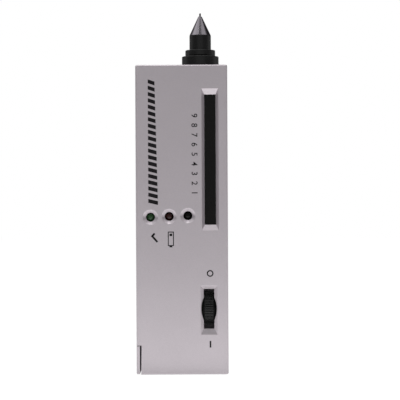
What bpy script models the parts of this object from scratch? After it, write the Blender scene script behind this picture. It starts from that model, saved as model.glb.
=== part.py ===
"""A hand-held diamond tester: a slim plastic case that stands on its base end, with its probe on top.

Metres, +Z up. The front face looks along -Y, +X is to the right of someone who looks at the front, and the
origin is the middle of the case's base face. Every length is named once below, and what fits in or seats on
another piece is worked out from the same names and a clearance.
"""

import math

import bmesh
import bpy
from mathutils import Matrix, Vector

# Case
CASE_WIDTH = 0.0410
CASE_DEPTH = 0.0220
CASE_HEIGHT = 0.1380
WALL = 0.0020
EDGE_RADIUS = 0.0008
REAR_SHELL_DEPTH = 0.0080
LIP_HEIGHT = 0.0012
LIP_THICKNESS = 0.0007

# Gaps between pieces, and how far a cutter runs past what it cuts
CLEARANCE = 0.0003
OVERRUN = 0.0010

# Battery, its snap and its leads
BATTERY_HEIGHT = 0.0464
BATTERY_BACK_GAP = 0.0002
BATTERY_EDGE_RADIUS = 0.0012
TERMINAL_PITCH = 0.0127
TERMINAL_HEIGHT = 0.0021
SMALL_TERMINAL_DIAMETER = 0.0057
LARGE_TERMINAL_DIAMETER = 0.0080
SNAP_THICKNESS = 0.0025
SNAP_DEPTH = 0.0100
SNAP_INSET = 0.0013
SNAP_EDGE_RADIUS = 0.0006
LEAD_DIAMETER = 0.0012
LEAD_PITCH = 0.0030
LEAD_SETBACK = 0.0026
LEAD_RISE = 0.0090
LEAD_REACH = 0.0060

# Thumbwheel, its slot, its spindle and its switch
WHEEL_Z = 0.0292
WHEEL_DIAMETER = 0.0150
WHEEL_PROUD = 0.00046
WHEEL_BAND_WIDTH = 0.0040
WHEEL_WIDTH = 0.0068
WHEEL_SIDE_GAP = 0.0005
WHEEL_RIDGE_DEPTH = 0.0004
WHEEL_SHOULDER_DROP = 0.0005
WHEEL_CHAMFER = 0.0009
WHEEL_RIDGES = 60
WHEEL_POCKET_GAP = 0.0005
WHEEL_POCKET_CHAMFER = 0.0016
SLOT_WIDTH = 0.0047
SLOT_HEIGHT = 0.0177
SLOT_SIDE_SLOPE = 0.0014
SLOT_TOP_SLOPE = 0.0015
SLOT_BOTTOM_SLOPE = 0.0026
SLOT_SLOPE_DEPTH = 0.0012
SPINDLE_DIAMETER = 0.0024
SPINDLE_END_GAP = 0.0006
SWITCH_THICKNESS = 0.0026
SWITCH_HEIGHT = 0.0140
SWITCH_DEPTH = 0.0102
SWITCH_HOLE_FLOOR = 0.0003
SWITCH_TAB_HEIGHT = 0.0100
SWITCH_TAB_THICKNESS = 0.0023
SWITCH_EDGE_RADIUS = 0.0005

# Window in the front face, and what stands behind it
WINDOW_INSET = 0.0078
WINDOW_HEADROOM = 0.01125
WINDOW_WIDTH = 0.0050
WINDOW_HEIGHT = 0.0581
WINDOW_SIDE_SLOPE = 0.0013
WINDOW_TOP_SLOPE = 0.0026
WINDOW_BOTTOM_SLOPE = 0.0026
WINDOW_LAND = 0.0004
LENS_MARGIN = 0.0012
LENS_THICKNESS = 0.0010
BARGRAPH_MARGIN = 0.0010

# Row of three lamps
LAMP_INSET = 0.0065
LAMP_WINDOW_GAP = 0.00754
LAMP_ABOVE_WINDOW_END = 0.0035
LAMP_ROW_RISE = 0.0003
LAMP_DIAMETER = 0.0036
LAMP_GAP = 0.0002
LAMP_RECESS_DIAMETER = 0.0068
LAMP_RECESS_DEPTH = 0.0012
LAMP_FLANGE_WIDTH = 0.0003
LAMP_FLANGE_HEIGHT = 0.0007
LAMP_BODY_LENGTH = 0.0052
LAMP_LEG = 0.0005
LAMP_LEG_PITCH = 0.0018

# Circuit board and what is soldered to it
BOARD_THICKNESS = 0.0016
BOARD_FRONT_Y = -0.0015
BOARD_SNAP_GAP = 0.0004
BOARD_HEADROOM = 0.0120
BOARD_LEG_WIDTH = 0.0093
BOARD_LEG_BOTTOM = 0.0400
BUZZER_DIAMETER = 0.0120
BUZZER_HEIGHT = 0.0065
BUZZER_TOP_INSET = 0.0040
BUZZER_HOLE_DIAMETER = 0.0024
BUZZER_HOLE_DEPTH = 0.0020
CHIP_WIDTH = 0.0065
CHIP_HEIGHT = 0.0034
CHIP_EDGE_RADIUS = 0.0003
MAIN_CHIP_LENGTH = 0.0200
MAIN_CHIP_BUZZER_GAP = 0.0020
DRIVER_CHIP_LENGTH = 0.0228
DRIVER_CHIP_CONNECTOR_GAP = 0.0046
TRIMMER_SIZE = 0.0066
TRIMMER_HEIGHT = 0.0045
TRIMMER_SCREW_DIAMETER = 0.0026
TRIMMER_SCREW_HEIGHT = 0.0008
TRIMMER_CHIP_GAP = 0.0062
CAPACITOR_DIAMETER = 0.0063
CAPACITOR_LENGTH = 0.0112
CAPACITOR_TOP_INSET = 0.0178
CAPACITOR_EDGE = 0.0004
CONNECTOR_WIDTH = 0.0050
CONNECTOR_DEPTH = 0.0050
CONNECTOR_HEIGHT = 0.0063
CONNECTOR_TOP_INSET = 0.0027
CONNECTOR_EDGE_RADIUS = 0.0003
TOUCH_LEAD_DROP = 0.0040
MAIN_CHIP_ACROSS_SHARE = -0.24176
DRIVER_CHIP_ACROSS_SHARE = 0.12363
TRIMMER_ACROSS_SHARE = -0.08242
CAPACITOR_ACROSS_SHARE = 0.37088
BUZZER_ACROSS_SHARE = -0.24725

# Probe holder, nose and needle
PROBE_INSET = 0.01196
FLANGE_DIAMETER = 0.0166
FLANGE_HEIGHT = 0.0041
FLANGE_EDGE = 0.0003
SHANK_DIAMETER = 0.0090
SHANK_LENGTH = 0.0070
HOLDER_BORE = 0.0062
COLLAR_DIAMETER = 0.0135
COLLAR_HEIGHT = 0.00255
COLLAR_EDGE = 0.0003
BARREL_DIAMETER = 0.0097
BARREL_SEAT_DEPTH = 0.0020
BARREL_RISE = 0.0066
BARREL_EDGE = 0.0002
BARREL_BORE = 0.0068
NOSE_HEIGHT = 0.0085
NOSE_TIP_DIAMETER = 0.0019
NOSE_TIP_ROUND = 0.0004
NOSE_SPIGOT_HEIGHT = 0.0020
NOSE_CHAMBER_DIAMETER = 0.0038
NOSE_CHAMBER_HEIGHT = 0.0036
NEEDLE_DIAMETER = 0.00076
NEEDLE_GAP = 0.00024
NEEDLE_RISE = 0.0015
NEEDLE_POINT = 0.0004
NEEDLE_TRAVEL = 0.0010
NEEDLE_SHOULDER_DIAMETER = 0.0022
NEEDLE_SHOULDER_HEIGHT = 0.0015
NEEDLE_SHOULDER_GAP = 0.0008
NEEDLE_TAIL = 0.0055
SPRING_DIAMETER = 0.0022
SPRING_WIRE = 0.0003
SPRING_TURNS = 7
SENSOR_DIAMETER = 0.0038
SENSOR_FLANGE_HEIGHT = 0.0011
SENSOR_FLANGE_DROP = 0.0023
SENSOR_TAIL = 0.0046
SLEEVE_BORE = 0.0044
NUT_ACROSS_FLATS = 0.0110
NUT_HEIGHT = 0.0027
PROBE_LEAD_DIAMETER = 0.0010
PROBE_LEAD_PITCH = 0.0014

# Battery door with its side tab
DOOR_MARGIN = 0.0005
DOOR_THICKNESS = 0.0017
DOOR_PIVOT_Z = 0.0615
TAB_HEIGHT = 0.0124
TAB_THICKNESS = 0.0015
TAB_GAP_BOTTOM = 0.00055
TAB_GAP_TOP = 0.00075
TONGUE_WIDTH = 0.0040
TONGUE_THICKNESS = 0.0013
TONGUE_RISE = 0.0030
TONGUE_ROOT = 0.0035
TONGUE_NECK = 0.0025
TONGUE_INSET = 0.0042
GRIP_GROOVES = 5
GRIP_WIDTH = 0.0130
GRIP_HEIGHT = 0.0010
GRIP_DEPTH = 0.0004
GRIP_PITCH = 0.0018
GRIP_Z = 0.0070

# Metal touch plate on the back
PLATE_WIDTH = 0.0140
PLATE_HEIGHT = 0.0340
PLATE_THICKNESS = 0.0008
PLATE_TOP_INSET = 0.0200
PLATE_CORNER_RADIUS = 0.0030
PLATE_STUD_DIAMETER = 0.0018
PLATE_STUD_PROUD = 0.0006

# Screws
CASE_SCREW_INSET = 0.0025
CASE_SCREW_BELOW_NUT = 0.0037
CASE_SCREW_ABOVE_LAMPS = 0.0142
CASE_SCREW_HEAD = 0.0036
CASE_SCREW_HEAD_HEIGHT = 0.0014
CASE_SCREW_SUNK = 0.0004
CASE_SCREW_SHANK = 0.0018
CASE_SCREW_LENGTH = 0.0130
BOSS_WALL = 0.0010
BOSS_MEETING_Y = 0.0020
BOARD_SCREW_INSET = 0.0025
BOARD_SCREW_OFFSET = 0.00454
BOARD_SCREW_EDGE = 0.0035
BOARD_SCREW_HEAD = 0.0032
BOARD_SCREW_HEAD_HEIGHT = 0.0011
BOARD_SCREW_SHANK = 0.0016
BOARD_SCREW_LENGTH = 0.0060
HOLE_END_GAP = 0.0010
CROSS_WIDTH_SHARE = 0.18
CROSS_LENGTH_SHARE = 0.62
CROSS_DEPTH_SHARE = 0.45
HEAD_DOME_SHARE = 0.35

# How finely round shapes are divided
FINE_STEPS = 48
ROUND_STEPS = 32
SMALL_STEPS = 16
EDGE_SEGMENTS = 3
CURL_POINTS = 8
LEAD_POINTS = 10
TUBE_RESOLUTION = 2
SPRING_RESOLUTION = 1
MERGE_DISTANCE = 0.00001
SHARP_ANGLE = math.radians(35)

# Across the case: the switch stands at the right wall, then the wheel, and the battery fills what is left
LEFT = -CASE_WIDTH / 2
RIGHT = CASE_WIDTH / 2
INNER_LEFT = LEFT + WALL
INNER_RIGHT = RIGHT - WALL
SWITCH_RIGHT = INNER_RIGHT - CLEARANCE
SWITCH_LEFT = SWITCH_RIGHT - SWITCH_THICKNESS
WHEEL_LEFT = SWITCH_LEFT - CLEARANCE - WHEEL_WIDTH
WHEEL_X = WHEEL_LEFT + WHEEL_WIDTH / 2
BATTERY_LEFT = INNER_LEFT + CLEARANCE
BATTERY_RIGHT = WHEEL_LEFT - WHEEL_SIDE_GAP
BATTERY_X = (BATTERY_LEFT + BATTERY_RIGHT) / 2
WINDOW_X = RIGHT - WINDOW_INSET
WINDOW_LEFT = WINDOW_X - WINDOW_WIDTH / 2
WINDOW_RIGHT = WINDOW_X + WINDOW_WIDTH / 2
PROBE_X = RIGHT - PROBE_INSET
LAMP_FIRST_X = LEFT + LAMP_INSET
LAMP_PITCH = (WINDOW_LEFT - LAMP_WINDOW_GAP - LAMP_FIRST_X) / 2
BOARD_LEFT = INNER_LEFT + CLEARANCE
BOARD_RIGHT = INNER_RIGHT - CLEARANCE
BOARD_WIDTH = BOARD_RIGHT - BOARD_LEFT
MAIN_CHIP_X = BOARD_WIDTH * MAIN_CHIP_ACROSS_SHARE
DRIVER_CHIP_X = BOARD_WIDTH * DRIVER_CHIP_ACROSS_SHARE
TRIMMER_X = BOARD_WIDTH * TRIMMER_ACROSS_SHARE
CAPACITOR_X = BOARD_WIDTH * CAPACITOR_ACROSS_SHARE
BUZZER_X = BOARD_WIDTH * BUZZER_ACROSS_SHARE
BOARD_SCREW_LEFT_X = INNER_LEFT + BOARD_SCREW_INSET
BOARD_SCREW_RIGHT_X = PROBE_X - BOARD_SCREW_OFFSET
DOOR_LEFT = INNER_LEFT + CLEARANCE
DOOR_RIGHT = BATTERY_RIGHT + DOOR_MARGIN
TAB_INNER_X = LEFT + TAB_THICKNESS

# From front to back: the battery fills the depth between the front wall and the door
FRONT = -CASE_DEPTH / 2
BACK = CASE_DEPTH / 2
INNER_FRONT = FRONT + WALL
INNER_BACK = BACK - WALL
PARTING_Y = BACK - REAR_SHELL_DEPTH
BATTERY_FRONT = INNER_FRONT + CLEARANCE
BATTERY_BACK = INNER_BACK - BATTERY_BACK_GAP
BATTERY_Y = (BATTERY_FRONT + BATTERY_BACK) / 2
WHEEL_Y = FRONT - WHEEL_PROUD + WHEEL_DIAMETER / 2
LENS_FRONT_Y = INNER_FRONT + CLEARANCE
LENS_BACK_Y = LENS_FRONT_Y + LENS_THICKNESS
BARGRAPH_FRONT_Y = LENS_BACK_Y + CLEARANCE
BOARD_SEAT_Y = BOARD_FRONT_Y - CLEARANCE
BOARD_BACK_Y = BOARD_FRONT_Y + BOARD_THICKNESS
SOLDER_Y = BOARD_BACK_Y + CLEARANCE
DOOR_INNER_Y = BACK - DOOR_THICKNESS
DOOR_PIVOT_Y = BACK - DOOR_THICKNESS / 2
CASE_SCREW_HEAD_Y = BACK - CASE_SCREW_SUNK - CASE_SCREW_HEAD_HEIGHT
CASE_SCREW_END_Y = CASE_SCREW_HEAD_Y - CASE_SCREW_LENGTH
BOARD_SCREW_END_Y = SOLDER_Y - BOARD_SCREW_LENGTH

# Up the case: battery and snap stand on the base, and the window and the board's parts hang from the top
INNER_TOP = CASE_HEIGHT - WALL
BATTERY_BOTTOM = WALL + CLEARANCE
BATTERY_TOP = BATTERY_BOTTOM + BATTERY_HEIGHT
SNAP_BOTTOM = BATTERY_TOP + TERMINAL_HEIGHT + CLEARANCE
SNAP_TOP = SNAP_BOTTOM + SNAP_THICKNESS
BOARD_BOTTOM = SNAP_TOP + BOARD_SNAP_GAP
BOARD_TOP = INNER_TOP - BOARD_HEADROOM
WINDOW_TOP = INNER_TOP - WINDOW_HEADROOM
WINDOW_BOTTOM = WINDOW_TOP - WINDOW_HEIGHT
LAMP_ROW_Z = WINDOW_BOTTOM + LAMP_ABOVE_WINDOW_END
BUZZER_Z = BOARD_TOP - BUZZER_TOP_INSET - BUZZER_DIAMETER / 2
MAIN_CHIP_Z = BUZZER_Z - BUZZER_DIAMETER / 2 - MAIN_CHIP_BUZZER_GAP - MAIN_CHIP_LENGTH / 2
CONNECTOR_TOP = BOARD_TOP - CONNECTOR_TOP_INSET
CONNECTOR_BOTTOM = CONNECTOR_TOP - CONNECTOR_HEIGHT
DRIVER_CHIP_Z = CONNECTOR_BOTTOM - DRIVER_CHIP_CONNECTOR_GAP - DRIVER_CHIP_LENGTH / 2
TRIMMER_Z = MAIN_CHIP_Z - MAIN_CHIP_LENGTH / 2 - TRIMMER_CHIP_GAP - TRIMMER_SIZE / 2
CAPACITOR_Z = BOARD_TOP - CAPACITOR_TOP_INSET - CAPACITOR_LENGTH
PLATE_Z = CASE_HEIGHT - PLATE_TOP_INSET - PLATE_HEIGHT / 2
DOOR_OPENING_TOP = DOOR_PIVOT_Z + DOOR_THICKNESS / 2 + CLEARANCE
TAB_TOP = CLEARANCE + TAB_HEIGHT
NUT_BOTTOM = INNER_TOP - CLEARANCE - NUT_HEIGHT
FLANGE_BOTTOM = CASE_HEIGHT + CLEARANCE
FLANGE_TOP = FLANGE_BOTTOM + FLANGE_HEIGHT
COLLAR_BOTTOM = FLANGE_TOP + CLEARANCE
COLLAR_TOP = COLLAR_BOTTOM + COLLAR_HEIGHT
BARREL_BOTTOM = FLANGE_TOP - BARREL_SEAT_DEPTH + CLEARANCE
BARREL_TOP = COLLAR_TOP + BARREL_RISE
NOSE_BOTTOM = BARREL_TOP + CLEARANCE
NOSE_TOP = NOSE_BOTTOM + NOSE_HEIGHT
NOSE_SPIGOT_BOTTOM = NOSE_BOTTOM - NOSE_SPIGOT_HEIGHT
NEEDLE_TOP = NOSE_TOP + NEEDLE_RISE
NEEDLE_SHOULDER_TOP = NOSE_BOTTOM + NOSE_CHAMBER_HEIGHT - NEEDLE_SHOULDER_GAP
NEEDLE_SHOULDER_BOTTOM = NEEDLE_SHOULDER_TOP - NEEDLE_SHOULDER_HEIGHT
NEEDLE_BOTTOM = NEEDLE_SHOULDER_BOTTOM - NEEDLE_TAIL
SENSOR_TOP = NEEDLE_BOTTOM - NEEDLE_TRAVEL - NEEDLE_SHOULDER_GAP
SENSOR_FLANGE_TOP = SENSOR_TOP - SENSOR_FLANGE_DROP
SENSOR_FLANGE_BOTTOM = SENSOR_FLANGE_TOP - SENSOR_FLANGE_HEIGHT
SENSOR_BOTTOM = SENSOR_FLANGE_BOTTOM - SENSOR_TAIL
SPRING_BOTTOM = SENSOR_TOP + CLEARANCE
SPRING_TOP = NEEDLE_SHOULDER_BOTTOM - CLEARANCE
CASE_SCREW_PLACES = (
    (INNER_LEFT + CASE_SCREW_INSET, INNER_TOP - CASE_SCREW_INSET),
    (INNER_RIGHT - CASE_SCREW_INSET, NUT_BOTTOM - CASE_SCREW_BELOW_NUT),
    (INNER_LEFT + CASE_SCREW_INSET, LAMP_ROW_Z + CASE_SCREW_ABOVE_LAMPS),
    (INNER_RIGHT - CASE_SCREW_INSET, WALL + CASE_SCREW_INSET),
)
BOARD_SCREW_PLACES = (
    (BOARD_SCREW_LEFT_X, BOARD_TOP - BOARD_SCREW_EDGE),
    (BOARD_SCREW_RIGHT_X, BOARD_TOP - BOARD_SCREW_EDGE),
    (BOARD_SCREW_LEFT_X, BOARD_BOTTOM + BOARD_SCREW_EDGE),
    (BOARD_SCREW_RIGHT_X, BOARD_BOTTOM + BOARD_SCREW_EDGE),
)

# Which way a turned shape or a cylinder points
UP = Matrix.Identity(4)
TO_FRONT = Matrix.Rotation(math.radians(90), 4, "X")
TO_BACK = Matrix.Rotation(math.radians(-90), 4, "X")
TO_RIGHT = Matrix.Rotation(math.radians(90), 4, "Y")

# Colours, roughness and metallic value of each kind of surface
SILVER_PAINT = ((0.44, 0.43, 0.44), 0.45, 0.0)
DARK_FILTER = ((0.008, 0.008, 0.008), 0.15, 0.0)
BLACK_PLASTIC = ((0.018, 0.017, 0.018), 0.4, 0.0)
GREY_PLASTIC = ((0.10, 0.10, 0.10), 0.5, 0.0)
GREEN_LENS = ((0.03, 0.10, 0.03), 0.2, 0.0)
RED_LENS = ((0.12, 0.01, 0.01), 0.2, 0.0)
DARK_LENS = ((0.01, 0.008, 0.008), 0.2, 0.0)
POLISHED_STEEL = ((0.60, 0.60, 0.60), 0.15, 1.0)
PLATED_STEEL = ((0.55, 0.55, 0.53), 0.3, 1.0)
BRASS = ((0.55, 0.38, 0.12), 0.3, 1.0)
CERAMIC = ((0.75, 0.73, 0.68), 0.5, 0.0)
BOARD_GREEN = ((0.02, 0.12, 0.05), 0.45, 0.0)
CAN_BLUE = ((0.02, 0.04, 0.15), 0.35, 0.0)
RED_WIRE = ((0.45, 0.01, 0.01), 0.4, 0.0)
BLACK_WIRE = ((0.01, 0.01, 0.01), 0.4, 0.0)
WHITE_PLASTIC = ((0.7, 0.69, 0.65), 0.45, 0.0)


def new_collection(name):
    """A collection linked to the scene."""
    collection = bpy.data.collections.new(name)
    bpy.context.scene.collection.children.link(collection)
    return collection


for leftover in list(bpy.data.objects):
    bpy.data.objects.remove(leftover)
PARTS = new_collection("diamond_tester")
CUTTERS = new_collection("cutters")


def add_object(name, mesh, place):
    """An object in the parts' collection, with its origin at place."""
    made = bpy.data.objects.new(name, mesh)
    made.location = place
    PARTS.objects.link(made)
    return made


def mesh_from(name, shape):
    """A mesh made from a bmesh, which is then freed."""
    mesh = bpy.data.meshes.new(name)
    shape.to_mesh(mesh)
    shape.free()
    return mesh


def shade_round(mesh):
    """Smooth shading, apart from the edges that are sharp."""
    mesh.shade_smooth()
    mesh.set_sharp_from_angle(angle=SHARP_ANGLE)


def settle(made):
    """Turns a curve or a live Screw into a plain mesh object with the same name and place, and returns it."""
    bpy.context.view_layer.update()
    graph = bpy.context.evaluated_depsgraph_get()
    mesh = bpy.data.meshes.new_from_object(made.evaluated_get(graph), depsgraph=graph)
    welded = bmesh.new()
    welded.from_mesh(mesh)
    bmesh.ops.remove_doubles(welded, verts=welded.verts, dist=MERGE_DISTANCE)
    bmesh.ops.recalc_face_normals(welded, faces=welded.faces)
    welded.to_mesh(mesh)
    welded.free()
    shade_round(mesh)
    name = made.name
    place = made.matrix_world.copy()
    bpy.data.objects.remove(made)
    mesh.name = name
    kept = add_object(name, mesh, (0, 0, 0))
    kept.matrix_world = place
    return kept


def box(name, x_span, y_span, z_span, radius=0, origin=None):
    """A box between the two ends of each span, with rounded edges if a radius is given."""
    shape = bmesh.new()
    spans = (x_span, y_span, z_span)
    size = Vector(abs(high - low) for low, high in spans)
    centre = Vector((low + high) / 2 for low, high in spans)
    place = Vector(origin) if origin else centre
    to_size = Matrix.Translation(centre - place) @ Matrix.Diagonal((*size, 1))
    bmesh.ops.create_cube(shape, size=1, matrix=to_size)
    made = add_object(name, mesh_from(name, shape), place)
    if radius:
        bevel = made.modifiers.new("rounded edges", "BEVEL")
        bevel.width = radius
        bevel.segments = EDGE_SEGMENTS
        bevel.limit_method = "NONE"
    return made


def cylinder(name, diameter, length, base, turn=UP, steps=ROUND_STEPS, end_diameter=None):
    """A cylinder or cone that starts at base and runs along the turned +Z."""
    shape = bmesh.new()
    last = diameter if end_diameter is None else end_diameter
    lift = turn @ Matrix.Translation((0, 0, length / 2))
    bmesh.ops.create_cone(
        shape,
        cap_ends=True,
        segments=steps,
        radius1=diameter / 2,
        radius2=last / 2,
        depth=length,
        matrix=lift,
    )
    mesh = mesh_from(name, shape)
    shade_round(mesh)
    return add_object(name, mesh, base)


def turned(name, profile, place, turn=UP, steps=ROUND_STEPS, ring=False):
    """A turned solid. The profile is pairs of radius and height, and runs down its outer side."""
    shape = bmesh.new()
    points = [shape.verts.new((radius, 0, height)) for radius, height in profile]
    for first, second in zip(points, points[1:]):
        shape.edges.new((first, second))
    if ring:
        shape.edges.new((points[-1], points[0]))
    made = add_object(name, mesh_from(name, shape), place)
    made.matrix_world = Matrix.Translation(place) @ turn
    screw = made.modifiers.new("turned", "SCREW")
    screw.steps = steps
    screw.render_steps = steps
    screw.use_merge_vertices = True
    screw.merge_threshold = MERGE_DISTANCE
    screw.use_smooth_shade = True
    return settle(made)


def prism(name, outline, thickness, place, turn=UP):
    """A flat outline in the turned XY plane, thickened evenly to both sides of place."""
    curve = bpy.data.curves.new(name, "CURVE")
    curve.dimensions = "2D"
    curve.fill_mode = "BOTH"
    curve.extrude = thickness / 2
    line = curve.splines.new("POLY")
    line.points.add(len(outline) - 1)
    line.use_cyclic_u = True
    for point, (across, along) in zip(line.points, outline):
        point.co = (across, along, 0, 1)
    made = add_object(name, curve, place)
    made.matrix_world = Matrix.Translation(place) @ turn
    return settle(made)


def tube(name, route, diameter, resolution=TUBE_RESOLUTION):
    """A wire along a route of points."""
    curve = bpy.data.curves.new(name, "CURVE")
    curve.dimensions = "3D"
    curve.bevel_depth = diameter / 2
    curve.bevel_resolution = resolution
    curve.use_fill_caps = True
    line = curve.splines.new("POLY")
    line.points.add(len(route) - 1)
    for point, place in zip(line.points, route):
        point.co = (*place, 1)
    return settle(add_object(name, curve, (0, 0, 0)))


def bend(start, start_way, end, end_way, reach):
    """The points of one smooth bend that leaves start along one way and arrives at end along the other."""
    corners = (start, start + start_way * reach, end - end_way * reach, end)
    route = []
    for step in range(LEAD_POINTS + 1):
        t = step / LEAD_POINTS
        weights = ((1 - t) ** 3, 3 * t * (1 - t) ** 2, 3 * t**2 * (1 - t), t**3)
        route.append(sum((corner * weight for corner, weight in zip(corners, weights)), Vector()))
    return route


def use_as_tool(tool):
    """Puts an object away among the cutters."""
    tool.hide_render = True
    tool.display_type = "WIRE"
    PARTS.objects.unlink(tool)
    CUTTERS.objects.link(tool)


def combine(target, operation, tools):
    """One Boolean on the target for each tool."""
    for tool in tools:
        boolean = target.modifiers.new(tool.name, "BOOLEAN")
        boolean.operation = operation
        boolean.object = tool
        if tool.name not in CUTTERS.objects:
            use_as_tool(tool)


def cut(target, *tools):
    """Cuts the tools out of the target."""
    combine(target, "DIFFERENCE", tools)


def join(target, *tools):
    """Adds the tools to the target as one body."""
    combine(target, "UNION", tools)


def finish(made, surface):
    """Gives an object a material of its own."""
    colour, roughness, metallic = surface
    material = bpy.data.materials.new(made.name)
    material.use_nodes = True
    shader = material.node_tree.nodes["Principled BSDF"]
    shader.inputs["Base Color"].default_value = (*colour, 1)
    shader.inputs["Roughness"].default_value = roughness
    shader.inputs["Metallic"].default_value = metallic
    material.diffuse_color = (*colour, 1)
    made.data.materials.clear()
    made.data.materials.append(material)
    return made


def case_outside(name):
    """The whole case as one rounded block, which both shells and the door are taken from."""
    return box(name, (LEFT, RIGHT), (FRONT, BACK), (0, CASE_HEIGHT), EDGE_RADIUS)


def sloped_opening(name, x_span, z_span, side_slope, bottom_slope, top_slope, depth):
    """Cutters for an opening in the front face whose frame slopes in to it, then runs straight through."""
    shape = bmesh.new()
    bmesh.ops.create_cube(shape, size=1)
    for corner in shape.verts:
        reach = 1 + OVERRUN / depth if corner.co.y < 0 else 0
        x = x_span[0] - side_slope * reach if corner.co.x < 0 else x_span[1] + side_slope * reach
        z = z_span[0] - bottom_slope * reach if corner.co.z < 0 else z_span[1] + top_slope * reach
        y = FRONT - OVERRUN if corner.co.y < 0 else FRONT + depth
        corner.co = (x, y, z)
    funnel = add_object(name + "_slope", mesh_from(name + "_slope", shape), (0, 0, 0))
    through = box(name + "_through", x_span, (FRONT, INNER_FRONT + OVERRUN), z_span)
    return funnel, through


def tab_corner():
    """Cutter for both shells' lower left corner, where the door's tab lies, a little wider at its top."""
    outline = (
        (LEFT - OVERRUN, -OVERRUN),
        (TAB_INNER_X + TAB_GAP_BOTTOM, -OVERRUN),
        (TAB_INNER_X + TAB_GAP_TOP, TAB_TOP + CLEARANCE),
        (LEFT - OVERRUN, TAB_TOP + CLEARANCE),
    )
    return prism("tab_corner", outline, CASE_DEPTH + 2 * OVERRUN, (0, 0, 0), TO_FRONT)


def probe_hole():
    """Cutter for the hole that the probe holder's shank passes through in the top wall."""
    base = (PROBE_X, 0, INNER_TOP - OVERRUN)
    return cylinder("probe_hole", SHANK_DIAMETER + 2 * CLEARANCE, WALL + 2 * OVERRUN, base)


def lamp_places():
    """The x and z of each lamp's axis, left to right."""
    return [(LAMP_FIRST_X + n * LAMP_PITCH, LAMP_ROW_Z + n * LAMP_ROW_RISE) for n in range(3)]


def make_front_shell(corner, hole):
    """The front half of the case, with its window, lamp recesses, wheel slot, bosses and posts."""
    shell = case_outside("front_shell")
    across = (LEFT - OVERRUN, RIGHT + OVERRUN)
    along = (-OVERRUN, CASE_HEIGHT + OVERRUN)
    cut(shell, box("rear_half", across, (PARTING_Y, BACK + OVERRUN), along))
    cavity = box(
        "front_cavity",
        (INNER_LEFT, INNER_RIGHT),
        (INNER_FRONT, PARTING_Y + OVERRUN),
        (WALL, INNER_TOP),
    )
    rabbet_width = LIP_THICKNESS + CLEARANCE
    rabbet = box(
        "lip_rabbet",
        (INNER_LEFT - rabbet_width, INNER_RIGHT + rabbet_width),
        (PARTING_Y - LIP_HEIGHT - CLEARANCE, PARTING_Y + OVERRUN),
        (WALL - rabbet_width, INNER_TOP + rabbet_width),
    )
    cut(shell, cavity, rabbet)
    root_y = FRONT + WALL / 2
    for n, (x, z) in enumerate(CASE_SCREW_PLACES, 1):
        outer = CASE_SCREW_SHANK + 2 * CLEARANCE + 2 * BOSS_WALL
        length = BOSS_MEETING_Y - root_y
        join(shell, cylinder(f"front_boss_{n}", outer, length, (x, root_y, z), TO_BACK, SMALL_STEPS))
    for n, (x, z) in enumerate(BOARD_SCREW_PLACES, 1):
        outer = BOARD_SCREW_SHANK + 2 * CLEARANCE + 2 * BOSS_WALL
        length = BOARD_SEAT_Y - root_y
        join(shell, cylinder(f"board_post_{n}", outer, length, (x, root_y, z), TO_BACK, SMALL_STEPS))
    cut(shell, *screw_holes("case", CASE_SCREW_PLACES, CASE_SCREW_END_Y, CASE_SCREW_SHANK, BOSS_MEETING_Y))
    cut(shell, *screw_holes("board", BOARD_SCREW_PLACES, BOARD_SCREW_END_Y, BOARD_SCREW_SHANK, BOARD_SEAT_Y))
    window = sloped_opening(
        "window",
        (WINDOW_LEFT, WINDOW_RIGHT),
        (WINDOW_BOTTOM, WINDOW_TOP),
        WINDOW_SIDE_SLOPE,
        WINDOW_BOTTOM_SLOPE,
        WINDOW_TOP_SLOPE,
        WALL - WINDOW_LAND,
    )
    slot = sloped_opening(
        "slot",
        (WHEEL_X - SLOT_WIDTH / 2, WHEEL_X + SLOT_WIDTH / 2),
        (WHEEL_Z - SLOT_HEIGHT / 2, WHEEL_Z + SLOT_HEIGHT / 2),
        SLOT_SIDE_SLOPE,
        SLOT_BOTTOM_SLOPE,
        SLOT_TOP_SLOPE,
        SLOT_SLOPE_DEPTH,
    )
    pocket_radius = WHEEL_DIAMETER / 2 + WHEEL_POCKET_GAP
    pocket_reach = WHEEL_WIDTH / 2 + CLEARANCE
    pocket_profile = (
        (0, pocket_reach),
        (pocket_radius - WHEEL_POCKET_CHAMFER, pocket_reach),
        (pocket_radius, pocket_reach - WHEEL_POCKET_CHAMFER),
        (pocket_radius, WHEEL_POCKET_CHAMFER - pocket_reach),
        (pocket_radius - WHEEL_POCKET_CHAMFER, -pocket_reach),
        (0, -pocket_reach),
    )
    wheel_centre = (WHEEL_X, WHEEL_Y, WHEEL_Z)
    pocket = turned("wheel_pocket", pocket_profile, wheel_centre, TO_RIGHT, FINE_STEPS)
    cut(shell, *window, *slot, pocket)
    hole_diameter = LAMP_DIAMETER + 2 * LAMP_GAP
    mouth = LAMP_RECESS_DIAMETER + (LAMP_RECESS_DIAMETER - hole_diameter) * OVERRUN / LAMP_RECESS_DEPTH
    for n, (x, z) in enumerate(lamp_places(), 1):
        recess = cylinder(
            f"lamp_recess_{n}",
            mouth,
            LAMP_RECESS_DEPTH + OVERRUN,
            (x, FRONT - OVERRUN, z),
            TO_BACK,
            ROUND_STEPS,
            hole_diameter,
        )
        through = cylinder(
            f"lamp_hole_{n}", hole_diameter, WALL + OVERRUN, (x, FRONT, z), TO_BACK
        )
        cut(shell, recess, through)
    cut(shell, corner, hole)
    return finish(shell, SILVER_PAINT)


def screw_holes(kind, places, end_y, shank, mouth_y):
    """Cutters for the blind holes that the screws' shanks lie in."""
    start = end_y - HOLE_END_GAP
    length = mouth_y + OVERRUN - start
    return [
        cylinder(f"{kind}_hole_{n}", shank + 2 * CLEARANCE, length, (x, start, z), TO_BACK, SMALL_STEPS)
        for n, (x, z) in enumerate(places, 1)
    ]


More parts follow.
